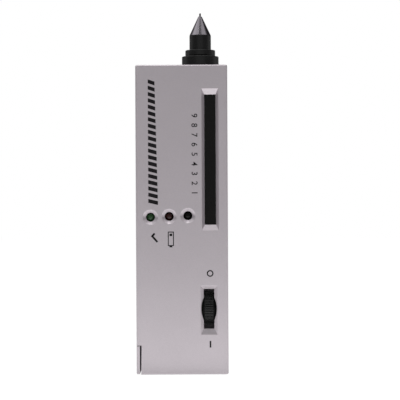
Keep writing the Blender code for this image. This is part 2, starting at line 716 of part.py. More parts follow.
def make_rear_shell(corner, hole):
    """The back half of the case, with its lip, screw bosses, door opening and touch plate seat."""
    shell = case_outside("rear_shell")
    across = (LEFT - OVERRUN, RIGHT + OVERRUN)
    along = (-OVERRUN, CASE_HEIGHT + OVERRUN)
    seam_y = PARTING_Y + CLEARANCE
    cut(shell, box("front_half", across, (FRONT - OVERRUN, seam_y), along))
    lip = box(
        "lip",
        (INNER_LEFT - LIP_THICKNESS, INNER_RIGHT + LIP_THICKNESS),
        (PARTING_Y - LIP_HEIGHT, seam_y + OVERRUN),
        (WALL - LIP_THICKNESS, INNER_TOP + LIP_THICKNESS),
    )
    join(shell, lip)
    cavity = box(
        "rear_cavity",
        (INNER_LEFT, INNER_RIGHT),
        (PARTING_Y - LIP_HEIGHT - OVERRUN, INNER_BACK),
        (WALL, INNER_TOP),
    )
    cut(shell, cavity)
    boss_front = BOSS_MEETING_Y + CLEARANCE
    head_y = CASE_SCREW_HEAD_Y - CLEARANCE
    for n, (x, z) in enumerate(CASE_SCREW_PLACES, 1):
        outer = CASE_SCREW_HEAD + 2 * CLEARANCE + BOSS_WALL
        length = BACK - WALL / 2 - boss_front
        join(shell, cylinder(f"rear_boss_{n}", outer, length, (x, boss_front, z), TO_BACK, SMALL_STEPS))
    for n, (x, z) in enumerate(CASE_SCREW_PLACES, 1):
        shaft = cylinder(
            f"rear_hole_{n}",
            CASE_SCREW_SHANK + 2 * CLEARANCE,
            CASE_DEPTH,
            (x, boss_front - OVERRUN, z),
            TO_BACK,
            SMALL_STEPS,
        )
        seat = cylinder(
            f"head_seat_{n}",
            CASE_SCREW_HEAD + 2 * CLEARANCE,
            BACK + OVERRUN - head_y,
            (x, head_y, z),
            TO_BACK,
            SMALL_STEPS,
        )
        cut(shell, shaft, seat)
    opening = box(
        "door_opening",
        (INNER_LEFT, DOOR_RIGHT + CLEARANCE),
        (INNER_BACK - OVERRUN, BACK + OVERRUN),
        (-OVERRUN, DOOR_OPENING_TOP),
    )
    floor_step = box(
        "door_floor_step",
        (LEFT - OVERRUN, DOOR_RIGHT + CLEARANCE),
        (INNER_BACK, BACK + OVERRUN),
        (-OVERRUN, WALL + OVERRUN),
    )
    cut(shell, opening, floor_step)
    seat_y = BACK - PLATE_THICKNESS - CLEARANCE
    plate_seat = rounded_plate(
        "plate_seat",
        PLATE_WIDTH + 2 * CLEARANCE,
        PLATE_HEIGHT + 2 * CLEARANCE,
        BACK + OVERRUN - seat_y,
        PLATE_CORNER_RADIUS + CLEARANCE,
        seat_y,
    )
    stud_hole = cylinder(
        "stud_hole",
        PLATE_STUD_DIAMETER + 2 * CLEARANCE,
        WALL + 2 * OVERRUN,
        (0, INNER_BACK - OVERRUN, PLATE_Z),
        TO_BACK,
        SMALL_STEPS,
    )
    cut(shell, plate_seat, stud_hole, corner, hole)
    return finish(shell, SILVER_PAINT)


def rounded_plate(name, width, height, thickness, radius, front_y):
    """A plate with round corners at the touch plate's place, from front_y towards the back."""
    outline = []
    quarter = SMALL_STEPS // 4
    corners = ((1, 1, 0), (-1, 1, 1), (-1, -1, 2), (1, -1, 3))
    for side, end, turn in corners:
        for step in range(quarter + 1):
            angle = math.pi / 2 * (turn + step / quarter)
            across = side * (width / 2 - radius) + radius * math.cos(angle)
            along = end * (height / 2 - radius) + radius * math.sin(angle)
            outline.append((across, along))
    return prism(name, outline, thickness, (0, front_y + thickness / 2, PLATE_Z), TO_FRONT)


def make_battery_door():
    """The door: its back panel with a round hinge edge, two tongues and the side tab on the case's corner."""
    half = DOOR_THICKNESS / 2
    bottom = CLEARANCE - DOOR_PIVOT_Z
    outer = half + OVERRUN
    panel_outline = [(-bottom, outer), (-bottom, -half)]
    for step in range(SMALL_STEPS + 1):
        angle = math.pi * step / SMALL_STEPS
        panel_outline.append((-half * math.sin(angle), -half * math.cos(angle)))
    panel_outline.append((0, outer))
    pivot = ((DOOR_LEFT + DOOR_RIGHT) / 2, DOOR_PIVOT_Y, DOOR_PIVOT_Z)
    door = prism("battery_door", panel_outline, DOOR_RIGHT - DOOR_LEFT, pivot, TO_RIGHT)
    tab_outline = (
        (LEFT - OVERRUN, FRONT - OVERRUN),
        (TAB_INNER_X, FRONT - OVERRUN),
        (TAB_INNER_X, DOOR_INNER_Y),
        (DOOR_LEFT + OVERRUN, DOOR_INNER_Y),
        (DOOR_LEFT + OVERRUN, BACK + OVERRUN),
        (LEFT - OVERRUN, BACK + OVERRUN),
    )
    join(door, prism("side_tab", tab_outline, TAB_HEIGHT, (0, 0, CLEARANCE + TAB_HEIGHT / 2)))
    tongue_back = INNER_BACK - CLEARANCE - DOOR_PIVOT_Y
    tongue_front = tongue_back - TONGUE_THICKNESS
    neck_top = TONGUE_NECK - TONGUE_ROOT
    tongue_outline = (
        (TONGUE_ROOT, tongue_front),
        (TONGUE_ROOT, 0),
        (-neck_top, 0),
        (-neck_top, tongue_back),
        (-TONGUE_RISE, tongue_back),
        (-TONGUE_RISE, tongue_front),
    )
    reach = TONGUE_INSET + TONGUE_WIDTH / 2
    for n, x in enumerate((DOOR_LEFT + reach, DOOR_RIGHT - reach), 1):
        place = (x, DOOR_PIVOT_Y, DOOR_PIVOT_Z)
        join(door, prism(f"tongue_{n}", tongue_outline, TONGUE_WIDTH, place, TO_RIGHT))
    combine(door, "INTERSECT", [case_outside("door_outside")])
    across = (pivot[0] - GRIP_WIDTH / 2, pivot[0] + GRIP_WIDTH / 2)
    for n in range(GRIP_GROOVES):
        z = GRIP_Z + n * GRIP_PITCH
        depth = (BACK - GRIP_DEPTH, BACK + OVERRUN)
        cut(door, box(f"grip_groove_{n + 1}", across, depth, (z, z + GRIP_HEIGHT)))
    return finish(door, SILVER_PAINT)


def make_display():
    """The dark filter behind the window and the two rows of lamps behind it."""
    lens = box(
        "display_lens",
        (WINDOW_LEFT - LENS_MARGIN, WINDOW_RIGHT + LENS_MARGIN),
        (LENS_FRONT_Y, LENS_BACK_Y),
        (WINDOW_BOTTOM - LENS_MARGIN, WINDOW_TOP + LENS_MARGIN),
    )
    finish(lens, DARK_FILTER)
    across = (WINDOW_LEFT - BARGRAPH_MARGIN, WINDOW_RIGHT + BARGRAPH_MARGIN)
    middle = (WINDOW_BOTTOM + WINDOW_TOP) / 2
    lengths = {
        "bargraph_lower": (WINDOW_BOTTOM, middle - CLEARANCE / 2),
        "bargraph_upper": (middle + CLEARANCE / 2, WINDOW_TOP),
    }
    for name, span in lengths.items():
        finish(box(name, across, (BARGRAPH_FRONT_Y, BOARD_SEAT_Y), span), GREY_PLASTIC)


def make_lamp(name, x, z, surface):
    """One lamp: a domed lens with a flange and two legs, its dome just below the recess."""
    radius = LAMP_DIAMETER / 2
    dome_steps = SMALL_STEPS // 4
    dome = [
        (radius * math.sin(math.pi / 2 * n / dome_steps), radius * math.cos(math.pi / 2 * n / dome_steps))
        for n in range(dome_steps + 1)
    ]
    foot = -LAMP_BODY_LENGTH + radius
    flange = radius + LAMP_FLANGE_WIDTH
    profile = dome + [
        (radius, foot + LAMP_FLANGE_HEIGHT),
        (flange, foot + LAMP_FLANGE_HEIGHT),
        (flange, foot),
        (0, foot),
    ]
    dome_centre_y = FRONT + LAMP_RECESS_DEPTH + radius
    lamp = turned(name, profile, (x, dome_centre_y, z), TO_FRONT, ROUND_STEPS)
    foot_y = dome_centre_y - foot
    for n, side in enumerate((-1, 1), 1):
        middle = x + side * LAMP_LEG_PITCH / 2
        leg = box(
            f"{name}_leg_{n}",
            (middle - LAMP_LEG / 2, middle + LAMP_LEG / 2),
            (foot_y - LAMP_FLANGE_HEIGHT / 2, BOARD_SEAT_Y),
            (z - LAMP_LEG / 2, z + LAMP_LEG / 2),
        )
        join(lamp, leg)
    return finish(lamp, surface)


def make_thumbwheel():
    """The ridged wheel with its smooth shoulders, and its spindle."""
    centre = (WHEEL_X, WHEEL_Y, WHEEL_Z)
    outer = WHEEL_DIAMETER / 2
    root = outer - WHEEL_RIDGE_DEPTH
    outline = []
    for ridge in range(WHEEL_RIDGES):
        for quarter_share, radius in ((0, outer), (0.45, outer), (0.6, root), (0.85, root)):
            angle = 2 * math.pi * (ridge + quarter_share) / WHEEL_RIDGES
            outline.append((radius * math.cos(angle), radius * math.sin(angle)))
    wheel = prism("thumbwheel", outline, WHEEL_BAND_WIDTH, centre, TO_RIGHT)
    shoulder = outer - WHEEL_SHOULDER_DROP
    profile = (
        (0, WHEEL_WIDTH / 2),
        (shoulder - WHEEL_CHAMFER, WHEEL_WIDTH / 2),
        (shoulder, WHEEL_BAND_WIDTH / 2),
        (shoulder, -WHEEL_BAND_WIDTH / 2),
        (shoulder - WHEEL_CHAMFER, -WHEEL_WIDTH / 2),
        (0, -WHEEL_WIDTH / 2),
    )
    join(wheel, turned("wheel_core", profile, centre, TO_RIGHT, FINE_STEPS))
    bore = SPINDLE_DIAMETER + 2 * CLEARANCE
    bore_start = (WHEEL_LEFT - OVERRUN, WHEEL_Y, WHEEL_Z)
    cut(wheel, cylinder("wheel_bore", bore, WHEEL_WIDTH + 2 * OVERRUN, bore_start, TO_RIGHT))
    finish(wheel, BLACK_PLASTIC)
    spindle_length = SWITCH_RIGHT - SWITCH_HOLE_FLOOR - SPINDLE_END_GAP - WHEEL_LEFT
    spindle_start = (WHEEL_LEFT, WHEEL_Y, WHEEL_Z)
    spindle = cylinder(
        "wheel_spindle", SPINDLE_DIAMETER, spindle_length, spindle_start, TO_RIGHT, SMALL_STEPS
    )
    finish(spindle, PLATED_STEEL)


def make_switch():
    """The switch body that carries the spindle, with its tab in front of the board's leg."""
    bottom = WHEEL_Z - SWITCH_HEIGHT / 2
    top = WHEEL_Z + SWITCH_HEIGHT / 2
    front = INNER_FRONT + CLEARANCE
    body = box(
        "switch_body",
        (SWITCH_LEFT, SWITCH_RIGHT),
        (front, front + SWITCH_DEPTH),
        (bottom, top),
        SWITCH_EDGE_RADIUS,
    )
    tab = box(
        "switch_tab",
        (SWITCH_LEFT + CLEARANCE, SWITCH_RIGHT - CLEARANCE),
        (BOARD_SEAT_Y - SWITCH_TAB_THICKNESS, BOARD_SEAT_Y),
        (top - OVERRUN, top + SWITCH_TAB_HEIGHT),
    )
    join(body, tab)
    hole = cylinder(
        "spindle_hole",
        SPINDLE_DIAMETER + 2 * CLEARANCE,
        SWITCH_THICKNESS - SWITCH_HOLE_FLOOR + OVERRUN,
        (SWITCH_LEFT - OVERRUN, WHEEL_Y, WHEEL_Z),
        TO_RIGHT,
    )
    cut(body, hole)
    finish(body, GREY_PLASTIC)


def make_battery():
    """The block battery with its two studs, the snap on top of it and the two leads to the board."""
    battery = box(
        "battery_9v",
        (BATTERY_LEFT, BATTERY_RIGHT),
        (BATTERY_FRONT, BATTERY_BACK),
        (BATTERY_BOTTOM, BATTERY_TOP),
        BATTERY_EDGE_RADIUS,
    )
    studs = ((-1, SMALL_TERMINAL_DIAMETER), (1, LARGE_TERMINAL_DIAMETER))
    for n, (side, diameter) in enumerate(studs, 1):
        base = (BATTERY_X + side * TERMINAL_PITCH / 2, BATTERY_Y, BATTERY_TOP - OVERRUN)
        join(battery, cylinder(f"terminal_{n}", diameter, TERMINAL_HEIGHT + OVERRUN, base, UP, SMALL_STEPS))
    finish(battery, CAN_BLUE)
    snap = box(
        "battery_snap",
        (BATTERY_LEFT + SNAP_INSET, BATTERY_RIGHT - SNAP_INSET),
        (BATTERY_Y - SNAP_DEPTH / 2, BATTERY_Y + SNAP_DEPTH / 2),
        (SNAP_BOTTOM, SNAP_TOP),
        SNAP_EDGE_RADIUS,
    )
    finish(snap, BLACK_PLASTIC)
    for name, side, surface in (("battery_lead_red", -1, RED_WIRE), ("battery_lead_black", 1, BLACK_WIRE)):
        x = BATTERY_X + side * LEAD_PITCH / 2
        start = Vector((x, SOLDER_Y + LEAD_SETBACK, SNAP_TOP + CLEARANCE))
        end = Vector((x, SOLDER_Y, SNAP_TOP + LEAD_RISE))
        route = bend(start, Vector((0, 0, 1)), end, Vector((0, -1, 0)), LEAD_REACH)
        finish(tube(name, route, LEAD_DIAMETER), surface)


def make_probe():
    """The stepped black holder, the polished nose, the needle on its spring and the sensor behind it."""
    place = (PROBE_X, 0, 0)
    bore = HOLDER_BORE / 2
    seat = BARREL_DIAMETER / 2 + CLEARANCE
    flange = FLANGE_DIAMETER / 2
    shank = SHANK_DIAMETER / 2
    shank_bottom = FLANGE_BOTTOM - SHANK_LENGTH
    flange_profile = (
        (seat, FLANGE_TOP),
        (flange - FLANGE_EDGE, FLANGE_TOP),
        (flange, FLANGE_TOP - FLANGE_EDGE),
        (flange, FLANGE_BOTTOM + FLANGE_EDGE),
        (flange - FLANGE_EDGE, FLANGE_BOTTOM),
        (shank, FLANGE_BOTTOM),
        (shank, shank_bottom),
        (bore, shank_bottom),
        (bore, FLANGE_TOP - BARREL_SEAT_DEPTH),
        (seat, FLANGE_TOP - BARREL_SEAT_DEPTH),
    )
    finish(turned("probe_flange", flange_profile, place, steps=FINE_STEPS, ring=True), BLACK_PLASTIC)
    collar = COLLAR_DIAMETER / 2
    collar_profile = (
        (seat, COLLAR_TOP),
        (collar - COLLAR_EDGE, COLLAR_TOP),
        (collar, COLLAR_TOP - COLLAR_EDGE),
        (collar, COLLAR_BOTTOM),
        (seat, COLLAR_BOTTOM),
    )
    finish(turned("probe_collar", collar_profile, place, steps=FINE_STEPS, ring=True), BLACK_PLASTIC)
    barrel = BARREL_DIAMETER / 2
    barrel_bore = BARREL_BORE / 2
    barrel_profile = (
        (barrel_bore, BARREL_TOP),
        (barrel - BARREL_EDGE, BARREL_TOP),
        (barrel, BARREL_TOP - BARREL_EDGE),
        (barrel, BARREL_BOTTOM),
        (barrel_bore, BARREL_BOTTOM),
    )
    finish(turned("probe_barrel", barrel_profile, place, steps=FINE_STEPS, ring=True), BLACK_PLASTIC)
    needle = NEEDLE_DIAMETER / 2
    needle_hole = needle + NEEDLE_GAP
    nose_tip = NOSE_TIP_DIAMETER / 2
    chamber = NOSE_CHAMBER_DIAMETER / 2
    spigot = barrel_bore - CLEARANCE
    chamber_top = NOSE_BOTTOM + NOSE_CHAMBER_HEIGHT
    nose_profile = (
        (needle_hole, NOSE_TOP),
        ((needle_hole + nose_tip) / 2, NOSE_TOP - NOSE_TIP_ROUND / 4),
        (nose_tip, NOSE_TOP - NOSE_TIP_ROUND),
        (barrel, NOSE_BOTTOM),
        (spigot, NOSE_BOTTOM),
        (spigot, NOSE_SPIGOT_BOTTOM),
        (chamber, NOSE_SPIGOT_BOTTOM),
        (chamber, chamber_top),
        (needle_hole, chamber_top),
    )
    finish(turned("probe_nose_cone", nose_profile, place, steps=FINE_STEPS, ring=True), POLISHED_STEEL)
    shoulder = NEEDLE_SHOULDER_DIAMETER / 2
    needle_profile = (
        (0, 0),
        (needle / 2, -NEEDLE_POINT / 4),
        (needle, -NEEDLE_POINT),
        (needle, NEEDLE_SHOULDER_TOP - NEEDLE_TOP),
        (shoulder, NEEDLE_SHOULDER_TOP - NEEDLE_TOP),
        (shoulder, NEEDLE_SHOULDER_BOTTOM - NEEDLE_TOP),
        (needle, NEEDLE_SHOULDER_BOTTOM - NEEDLE_TOP),
        (needle, NEEDLE_BOTTOM - NEEDLE_TOP),
        (0, NEEDLE_BOTTOM - NEEDLE_TOP),
    )
    finish(turned("probe_tip", needle_profile, (PROBE_X, 0, NEEDLE_TOP), steps=SMALL_STEPS), PLATED_STEEL)
    make_probe_spring()
    sensor = SENSOR_DIAMETER / 2
    sensor_flange = bore - CLEARANCE
    sensor_profile = (
        (0, SENSOR_TOP),
        (sensor, SENSOR_TOP),
        (sensor, SENSOR_FLANGE_TOP),
        (sensor_flange, SENSOR_FLANGE_TOP),
        (sensor_flange, SENSOR_FLANGE_BOTTOM),
        (sensor, SENSOR_FLANGE_BOTTOM),
        (sensor, SENSOR_BOTTOM),
        (0, SENSOR_BOTTOM),
    )
    finish(turned("probe_sensor", sensor_profile, place, steps=SMALL_STEPS), CERAMIC)
    sleeve_outer = barrel_bore - CLEARANCE
    sleeve_inner = SLEEVE_BORE / 2
    sleeve_top = NOSE_SPIGOT_BOTTOM - CLEARANCE
    sleeve_bottom = SENSOR_FLANGE_TOP + CLEARANCE
    sleeve_profile = (
        (sleeve_inner, sleeve_top),
        (sleeve_outer, sleeve_top),
        (sleeve_outer, sleeve_bottom),
        (sleeve_inner, sleeve_bottom),
    )
    finish(turned("insulating_sleeve", sleeve_profile, place, steps=SMALL_STEPS, ring=True), WHITE_PLASTIC)
    corner_diameter = NUT_ACROSS_FLATS / math.cos(math.pi / 6)
    nut = cylinder("probe_nut", corner_diameter, NUT_HEIGHT, (PROBE_X, 0, NUT_BOTTOM), steps=6)
    nut_hole = cylinder(
        "nut_hole",
        SHANK_DIAMETER + 2 * CLEARANCE,
        NUT_HEIGHT + 2 * OVERRUN,
        (PROBE_X, 0, NUT_BOTTOM - OVERRUN),
    )
    cut(nut, nut_hole)
    finish(nut, BRASS)


def make_probe_spring():
    """The coil spring between the sensor and the needle's shoulder."""
    radius = (SPRING_DIAMETER - SPRING_WIRE) / 2
    low = SPRING_BOTTOM + SPRING_WIRE / 2
    high = SPRING_TOP - SPRING_WIRE / 2
    count = SPRING_TURNS * CURL_POINTS
    route = []
    for n in range(count + 1):
        angle = 2 * math.pi * n / CURL_POINTS
        z = low + (high - low) * n / count
        route.append((PROBE_X + radius * math.cos(angle), radius * math.sin(angle), z))
    pitch = (high - low) / SPRING_TURNS
    print("probe spring: least gap between curls", pitch - SPRING_WIRE)
    finish(tube("probe_spring", route, SPRING_WIRE, SPRING_RESOLUTION), PLATED_STEEL)


def make_circuit_board():
    """The board, with a leg beside the wheel, its screw holes and a notch for the case screw's boss."""
    leg_left = BOARD_RIGHT - BOARD_LEG_WIDTH
    outline = (
        (BOARD_LEFT, BOARD_BOTTOM),
        (leg_left, BOARD_BOTTOM),
        (leg_left, BOARD_LEG_BOTTOM),
        (BOARD_RIGHT, BOARD_LEG_BOTTOM),
        (BOARD_RIGHT, BOARD_TOP),
        (BOARD_LEFT, BOARD_TOP),
    )
    middle_y = BOARD_FRONT_Y + BOARD_THICKNESS / 2
    board = prism("circuit_board", outline, BOARD_THICKNESS, (0, middle_y, 0), TO_FRONT)
    depth = BOARD_THICKNESS + 2 * OVERRUN
    start = BOARD_FRONT_Y - OVERRUN
    for n, (x, z) in enumerate(BOARD_SCREW_PLACES, 1):
        hole = BOARD_SCREW_SHANK + 2 * CLEARANCE
        cut(board, cylinder(f"board_hole_{n}", hole, depth, (x, start, z), TO_BACK, SMALL_STEPS))
    notch = CASE_SCREW_SHANK + 2 * BOSS_WALL + 4 * CLEARANCE
    x, z = CASE_SCREW_PLACES[2]
    cut(board, cylinder("boss_notch", notch, depth, (x, start, z), TO_BACK, SMALL_STEPS))
    finish(board, BOARD_GREEN)


def make_components():
    """What stands on the back of the board."""
    chips = (
        ("main_chip", MAIN_CHIP_X, MAIN_CHIP_Z, MAIN_CHIP_LENGTH),
        ("driver_chip", DRIVER_CHIP_X, DRIVER_CHIP_Z, DRIVER_CHIP_LENGTH),
    )
    for name, x, z, length in chips:
        chip = box(
            name,
            (x - CHIP_WIDTH / 2, x + CHIP_WIDTH / 2),
            (SOLDER_Y, SOLDER_Y + CHIP_HEIGHT),
            (z - length / 2, z + length / 2),
            CHIP_EDGE_RADIUS,
        )
        finish(chip, BLACK_PLASTIC)
    half = TRIMMER_SIZE / 2
    trimmer = box(
        "trimmer",
        (TRIMMER_X - half, TRIMMER_X + half),
        (SOLDER_Y, SOLDER_Y + TRIMMER_HEIGHT),
        (TRIMMER_Z - half, TRIMMER_Z + half),
    )
    adjuster = cylinder(
        "trimmer_screw",
        TRIMMER_SCREW_DIAMETER,
        TRIMMER_SCREW_HEIGHT + OVERRUN,
        (TRIMMER_X, SOLDER_Y + TRIMMER_HEIGHT - OVERRUN, TRIMMER_Z),
        TO_BACK,
        SMALL_STEPS,
    )
    join(trimmer, adjuster)
    finish(trimmer, CAN_BLUE)
    radius = CAPACITOR_DIAMETER / 2
    capacitor_profile = (
        (0, CAPACITOR_LENGTH),
        (radius - CAPACITOR_EDGE, CAPACITOR_LENGTH),
        (radius, CAPACITOR_LENGTH - CAPACITOR_EDGE),
        (radius, CAPACITOR_EDGE),
        (radius - CAPACITOR_EDGE, 0),
        (0, 0),
    )
    place = (CAPACITOR_X, SOLDER_Y + radius, CAPACITOR_Z)
    finish(turned("capacitor", capacitor_profile, place, steps=SMALL_STEPS), CAN_BLUE)
    buzzer_radius = BUZZER_DIAMETER / 2
    hole_radius = BUZZER_HOLE_DIAMETER / 2
    hole_floor = BUZZER_HEIGHT - BUZZER_HOLE_DEPTH
    buzzer_profile = (
        (0, hole_floor),
        (hole_radius, hole_floor),
        (hole_radius, BUZZER_HEIGHT),
        (buzzer_radius, BUZZER_HEIGHT),
        (buzzer_radius, 0),
        (0, 0),
    )
    place = (BUZZER_X, SOLDER_Y, BUZZER_Z)
    finish(turned("buzzer", buzzer_profile, place, TO_BACK, ROUND_STEPS), BLACK_PLASTIC)
    connector = box(
        "probe_connector",
        (PROBE_X - CONNECTOR_WIDTH / 2, PROBE_X + CONNECTOR_WIDTH / 2),
        (SOLDER_Y, SOLDER_Y + CONNECTOR_DEPTH),
        (CONNECTOR_BOTTOM, CONNECTOR_TOP),
        CONNECTOR_EDGE_RADIUS,
    )
    finish(connector, WHITE_PLASTIC)
    down = Vector((0, 0, -1))
    for name, side in (("probe_lead_a", -1), ("probe_lead_b", 1)):
        x = PROBE_X + side * PROBE_LEAD_PITCH / 2
        start = Vector((x, 0, SENSOR_BOTTOM - CLEARANCE))
        end = Vector((x, SOLDER_Y + CONNECTOR_DEPTH / 2, CONNECTOR_TOP + CLEARANCE))
        route = bend(start, down, end, down, LEAD_REACH)
        finish(tube(name, route, PROBE_LEAD_DIAMETER), WHITE_PLASTIC)


def make_touch_plate():
    """The metal plate on the back with its stud, and the lead from the stud to the board."""
    plate = rounded_plate(
        "touch_plate",
        PLATE_WIDTH,
        PLATE_HEIGHT,
        PLATE_THICKNESS,
        PLATE_CORNER_RADIUS,
        BACK - PLATE_THICKNESS,
    )
    stud_end = INNER_BACK - PLATE_STUD_PROUD
    stud = cylinder(
        "plate_stud",
        PLATE_STUD_DIAMETER,
        BACK - PLATE_THICKNESS / 2 - stud_end,
        (0, stud_end, PLATE_Z),
        TO_BACK,
        SMALL_STEPS,
    )
    join(plate, stud)
    finish(plate, PLATED_STEEL)
    forward = Vector((0, -1, 0))
    start = Vector((0, stud_end - CLEARANCE, PLATE_Z))
    end = Vector((MAIN_CHIP_X + CHIP_WIDTH / 2 + LEAD_PITCH, SOLDER_Y, PLATE_Z - TOUCH_LEAD_DROP))
    reach = (start.y - end.y) / 2
    finish(tube("touch_plate_lead", bend(start, forward, end, forward, reach), PROBE_LEAD_DIAMETER), RED_WIRE)


def make_screw(name, place, head, head_height, shank, length):
    """A cross-headed screw that is driven in from the back. Its place is the underside of its head."""
    edge = head_height * HEAD_DOME_SHARE
    profile = (
        (0, head_height),
        (head / 2 - edge, head_height),
        (head / 2, head_height - edge),
        (head / 2, 0),
        (shank / 2, 0),
        (shank / 2, shank - length),
        (0, -length),
    )
    screw = turned(name, profile, place, TO_BACK, SMALL_STEPS)
    x, y, z = place
    slot = head * CROSS_WIDTH_SHARE / 2
    arm = head * CROSS_LENGTH_SHARE / 2
    floor = y + head_height * (1 - CROSS_DEPTH_SHARE)
    depth = (floor, y + head_height + OVERRUN)
    bars = (
        box(f"{name}_slot", (x - slot, x + slot), depth, (z - arm, z + arm)),
        box(f"{name}_cross_slot", (x - arm, x + arm), depth, (z - slot, z + slot)),
    )
    cut(screw, *bars)
    finish(screw, PLATED_STEEL)


def make_screws():
    """The four case screws and the four board screws."""
    for n, (x, z) in enumerate(CASE_SCREW_PLACES, 1):
        place = (x, CASE_SCREW_HEAD_Y, z)
        make_screw(
            f"case_screw_{n}",
            place,
            CASE_SCREW_HEAD,
            CASE_SCREW_HEAD_HEIGHT,
            CASE_SCREW_SHANK,
            CASE_SCREW_LENGTH,
        )
    for n, (x, z) in enumerate(BOARD_SCREW_PLACES, 1):
        place = (x, SOLDER_Y, z)
        make_screw(
            f"board_screw_{n}",
            place,
            BOARD_SCREW_HEAD,
            BOARD_SCREW_HEAD_HEIGHT,
            BOARD_SCREW_SHANK,
            BOARD_SCREW_LENGTH,
        )


def main():
    """Builds the whole tester."""
    corner = tab_corner()
    hole = probe_hole()
    make_front_shell(corner, hole)
    make_rear_shell(corner, hole)
    make_battery_door()
    make_display()
    lamps = (("led_ready", GREEN_LENS), ("led_low_battery", RED_LENS), ("led_contact", DARK_LENS))
    for (name, surface), (x, z) in zip(lamps, lamp_places()):
        make_lamp(name, x, z, surface)
    make_thumbwheel()
    make_switch()
    make_battery()
    make_probe()
    make_circuit_board()
    make_components()
    make_touch_plate()
    make_screws()


main()
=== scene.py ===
"""Looks of the hand-held gem tester: finishes, detailed pieces, plain prints, light and camera.

Everything is in metres in the tester's own frame: +Z up the case towards the probe, -Y out of the front face.
"""

import logging
import math
from collections.abc import Iterable, Sequence
from dataclasses import dataclass
from enum import Enum
from functools import cached_property

import bmesh
import bpy
from mathutils import Matrix, Vector


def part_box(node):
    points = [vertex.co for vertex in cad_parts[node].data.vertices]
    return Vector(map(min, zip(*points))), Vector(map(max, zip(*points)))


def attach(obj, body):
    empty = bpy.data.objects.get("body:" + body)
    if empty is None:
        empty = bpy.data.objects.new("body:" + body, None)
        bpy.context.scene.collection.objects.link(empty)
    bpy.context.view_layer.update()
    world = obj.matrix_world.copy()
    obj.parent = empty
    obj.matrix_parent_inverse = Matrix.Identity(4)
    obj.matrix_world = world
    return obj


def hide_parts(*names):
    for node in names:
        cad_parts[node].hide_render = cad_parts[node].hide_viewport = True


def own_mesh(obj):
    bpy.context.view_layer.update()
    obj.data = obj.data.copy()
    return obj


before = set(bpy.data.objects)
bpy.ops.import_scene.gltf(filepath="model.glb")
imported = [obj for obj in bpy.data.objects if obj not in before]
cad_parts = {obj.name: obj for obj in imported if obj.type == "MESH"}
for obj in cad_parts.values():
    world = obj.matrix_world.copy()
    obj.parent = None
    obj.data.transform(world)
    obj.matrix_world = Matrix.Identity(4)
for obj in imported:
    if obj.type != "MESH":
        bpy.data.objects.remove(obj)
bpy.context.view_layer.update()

log = logging.getLogger("gem_tester")

Shape = bmesh.types.BMesh
Socket = bpy.types.NodeSocket
Point = tuple[float, float]
Place = Sequence[float]
Triple = tuple[float, float, float]
Colour = Triple

FRONT_Y = -0.0110
BACK_Y = 0.0110

# Metres within which a point is on an axis and two points are one, here and in the CAD's meshes.
ON_AXIS = 1e-9
SAME_PLACE = 1e-7
SAME_CAD_PLACE = 2e-6
# Degrees within which CAD faces are one flat face, and past which a piece's edge stays sharp.
FLAT_ANGLE = 0.6
CREASE = 32.0
# The most of a side that the rounding of one corner takes.
SIDE_SHARE = 0.45


class Way(Enum):
    """Which way the axis of a turned piece points, as the angle and the axis of the turn from +Z."""

    UP = (0.0, "X")
    FRONT = (90.0, "X")
    BACK = (-90.0, "X")
    RIGHT = (90.0, "Y")

    def matrix(self) -> Matrix:
        """The turn as a matrix."""
        degrees, axis = self.value
        return Matrix.Rotation(math.radians(degrees), 4, axis)


# Shapes


def soften(outline: Sequence[Point], radius: float, segments: int = 3) -> list[Point]:
    """Rounds the corners of a closed outline, apart from those on the axis.

    Args:
        outline: corners as (radius or x, height or y).
        radius: how far each rounding reaches along its two sides.
        segments: how many steps make one rounding.

    Returns:
        The corners of the rounded outline.
    """
    made: list[Point] = []
    for n, corner in enumerate(outline):
        here = Vector(corner)
        before = Vector(outline[n - 1]) - here
        after = Vector(outline[(n + 1) % len(outline)]) - here
        reach = min(radius, SIDE_SHARE * before.length, SIDE_SHARE * after.length)
        if here.x < ON_AXIS or reach < SAME_PLACE:
            made.append(corner)
            continue
        start, end = here + before.normalized() * reach, here + after.normalized() * reach
        for step in range(segments + 1):
            t = step / segments
            spot = start * (1 - t) ** 2 + here * 2 * t * (1 - t) + end * t**2
            made.append((spot.x, spot.y))
    return made


def lathe(outline: Sequence[Point], place: Place, way: Way = Way.UP, steps: int = 96) -> Shape:
    """Turns a closed outline about an axis.

    Args:
        outline: corners as (radius, height along the axis).
        place: where the axis starts.
        way: which way the axis points.
        steps: how many steps the turn has.

    Returns:
        The turned shape with its faces outwards.
    """
    bm = bmesh.new()
    rings = []
    for step in range(steps):
        angle = math.tau * step / steps
        rings.append([bm.verts.new((r * math.cos(angle), r * math.sin(angle), h)) for r, h in outline])
    for step, here in enumerate(rings):
        there = rings[(step + 1) % steps]
        for n in range(len(outline)):
            after = (n + 1) % len(outline)
            bm.faces.new((here[n], there[n], there[after], here[after]))
    bmesh.ops.remove_doubles(bm, verts=bm.verts, dist=SAME_PLACE)
    bmesh.ops.recalc_face_normals(bm, faces=bm.faces)
    bm.transform(Matrix.Translation(place) @ way.matrix())
    return bm


def block(low: Place, high: Place, radius: float = 0.0, segments: int = 3) -> Shape:
    """A block between two corners with rounded edges.

    Args:
        low: its lowest corner.
        high: its highest corner.
        radius: radius of its edges.
        segments: how many steps each rounding has.

    Returns:
        The block.
    """
    bm = bmesh.new()
    low, high = Vector(low), Vector(high)
    size = Matrix.Diagonal((*(high - low), 1))
    bmesh.ops.create_cube(bm, size=1.0, matrix=Matrix.Translation((low + high) / 2) @ size)
    if radius:
        bmesh.ops.bevel(bm, geom=bm.edges, offset=radius, segments=segments, profile=0.5, affect="EDGES")
    return bm


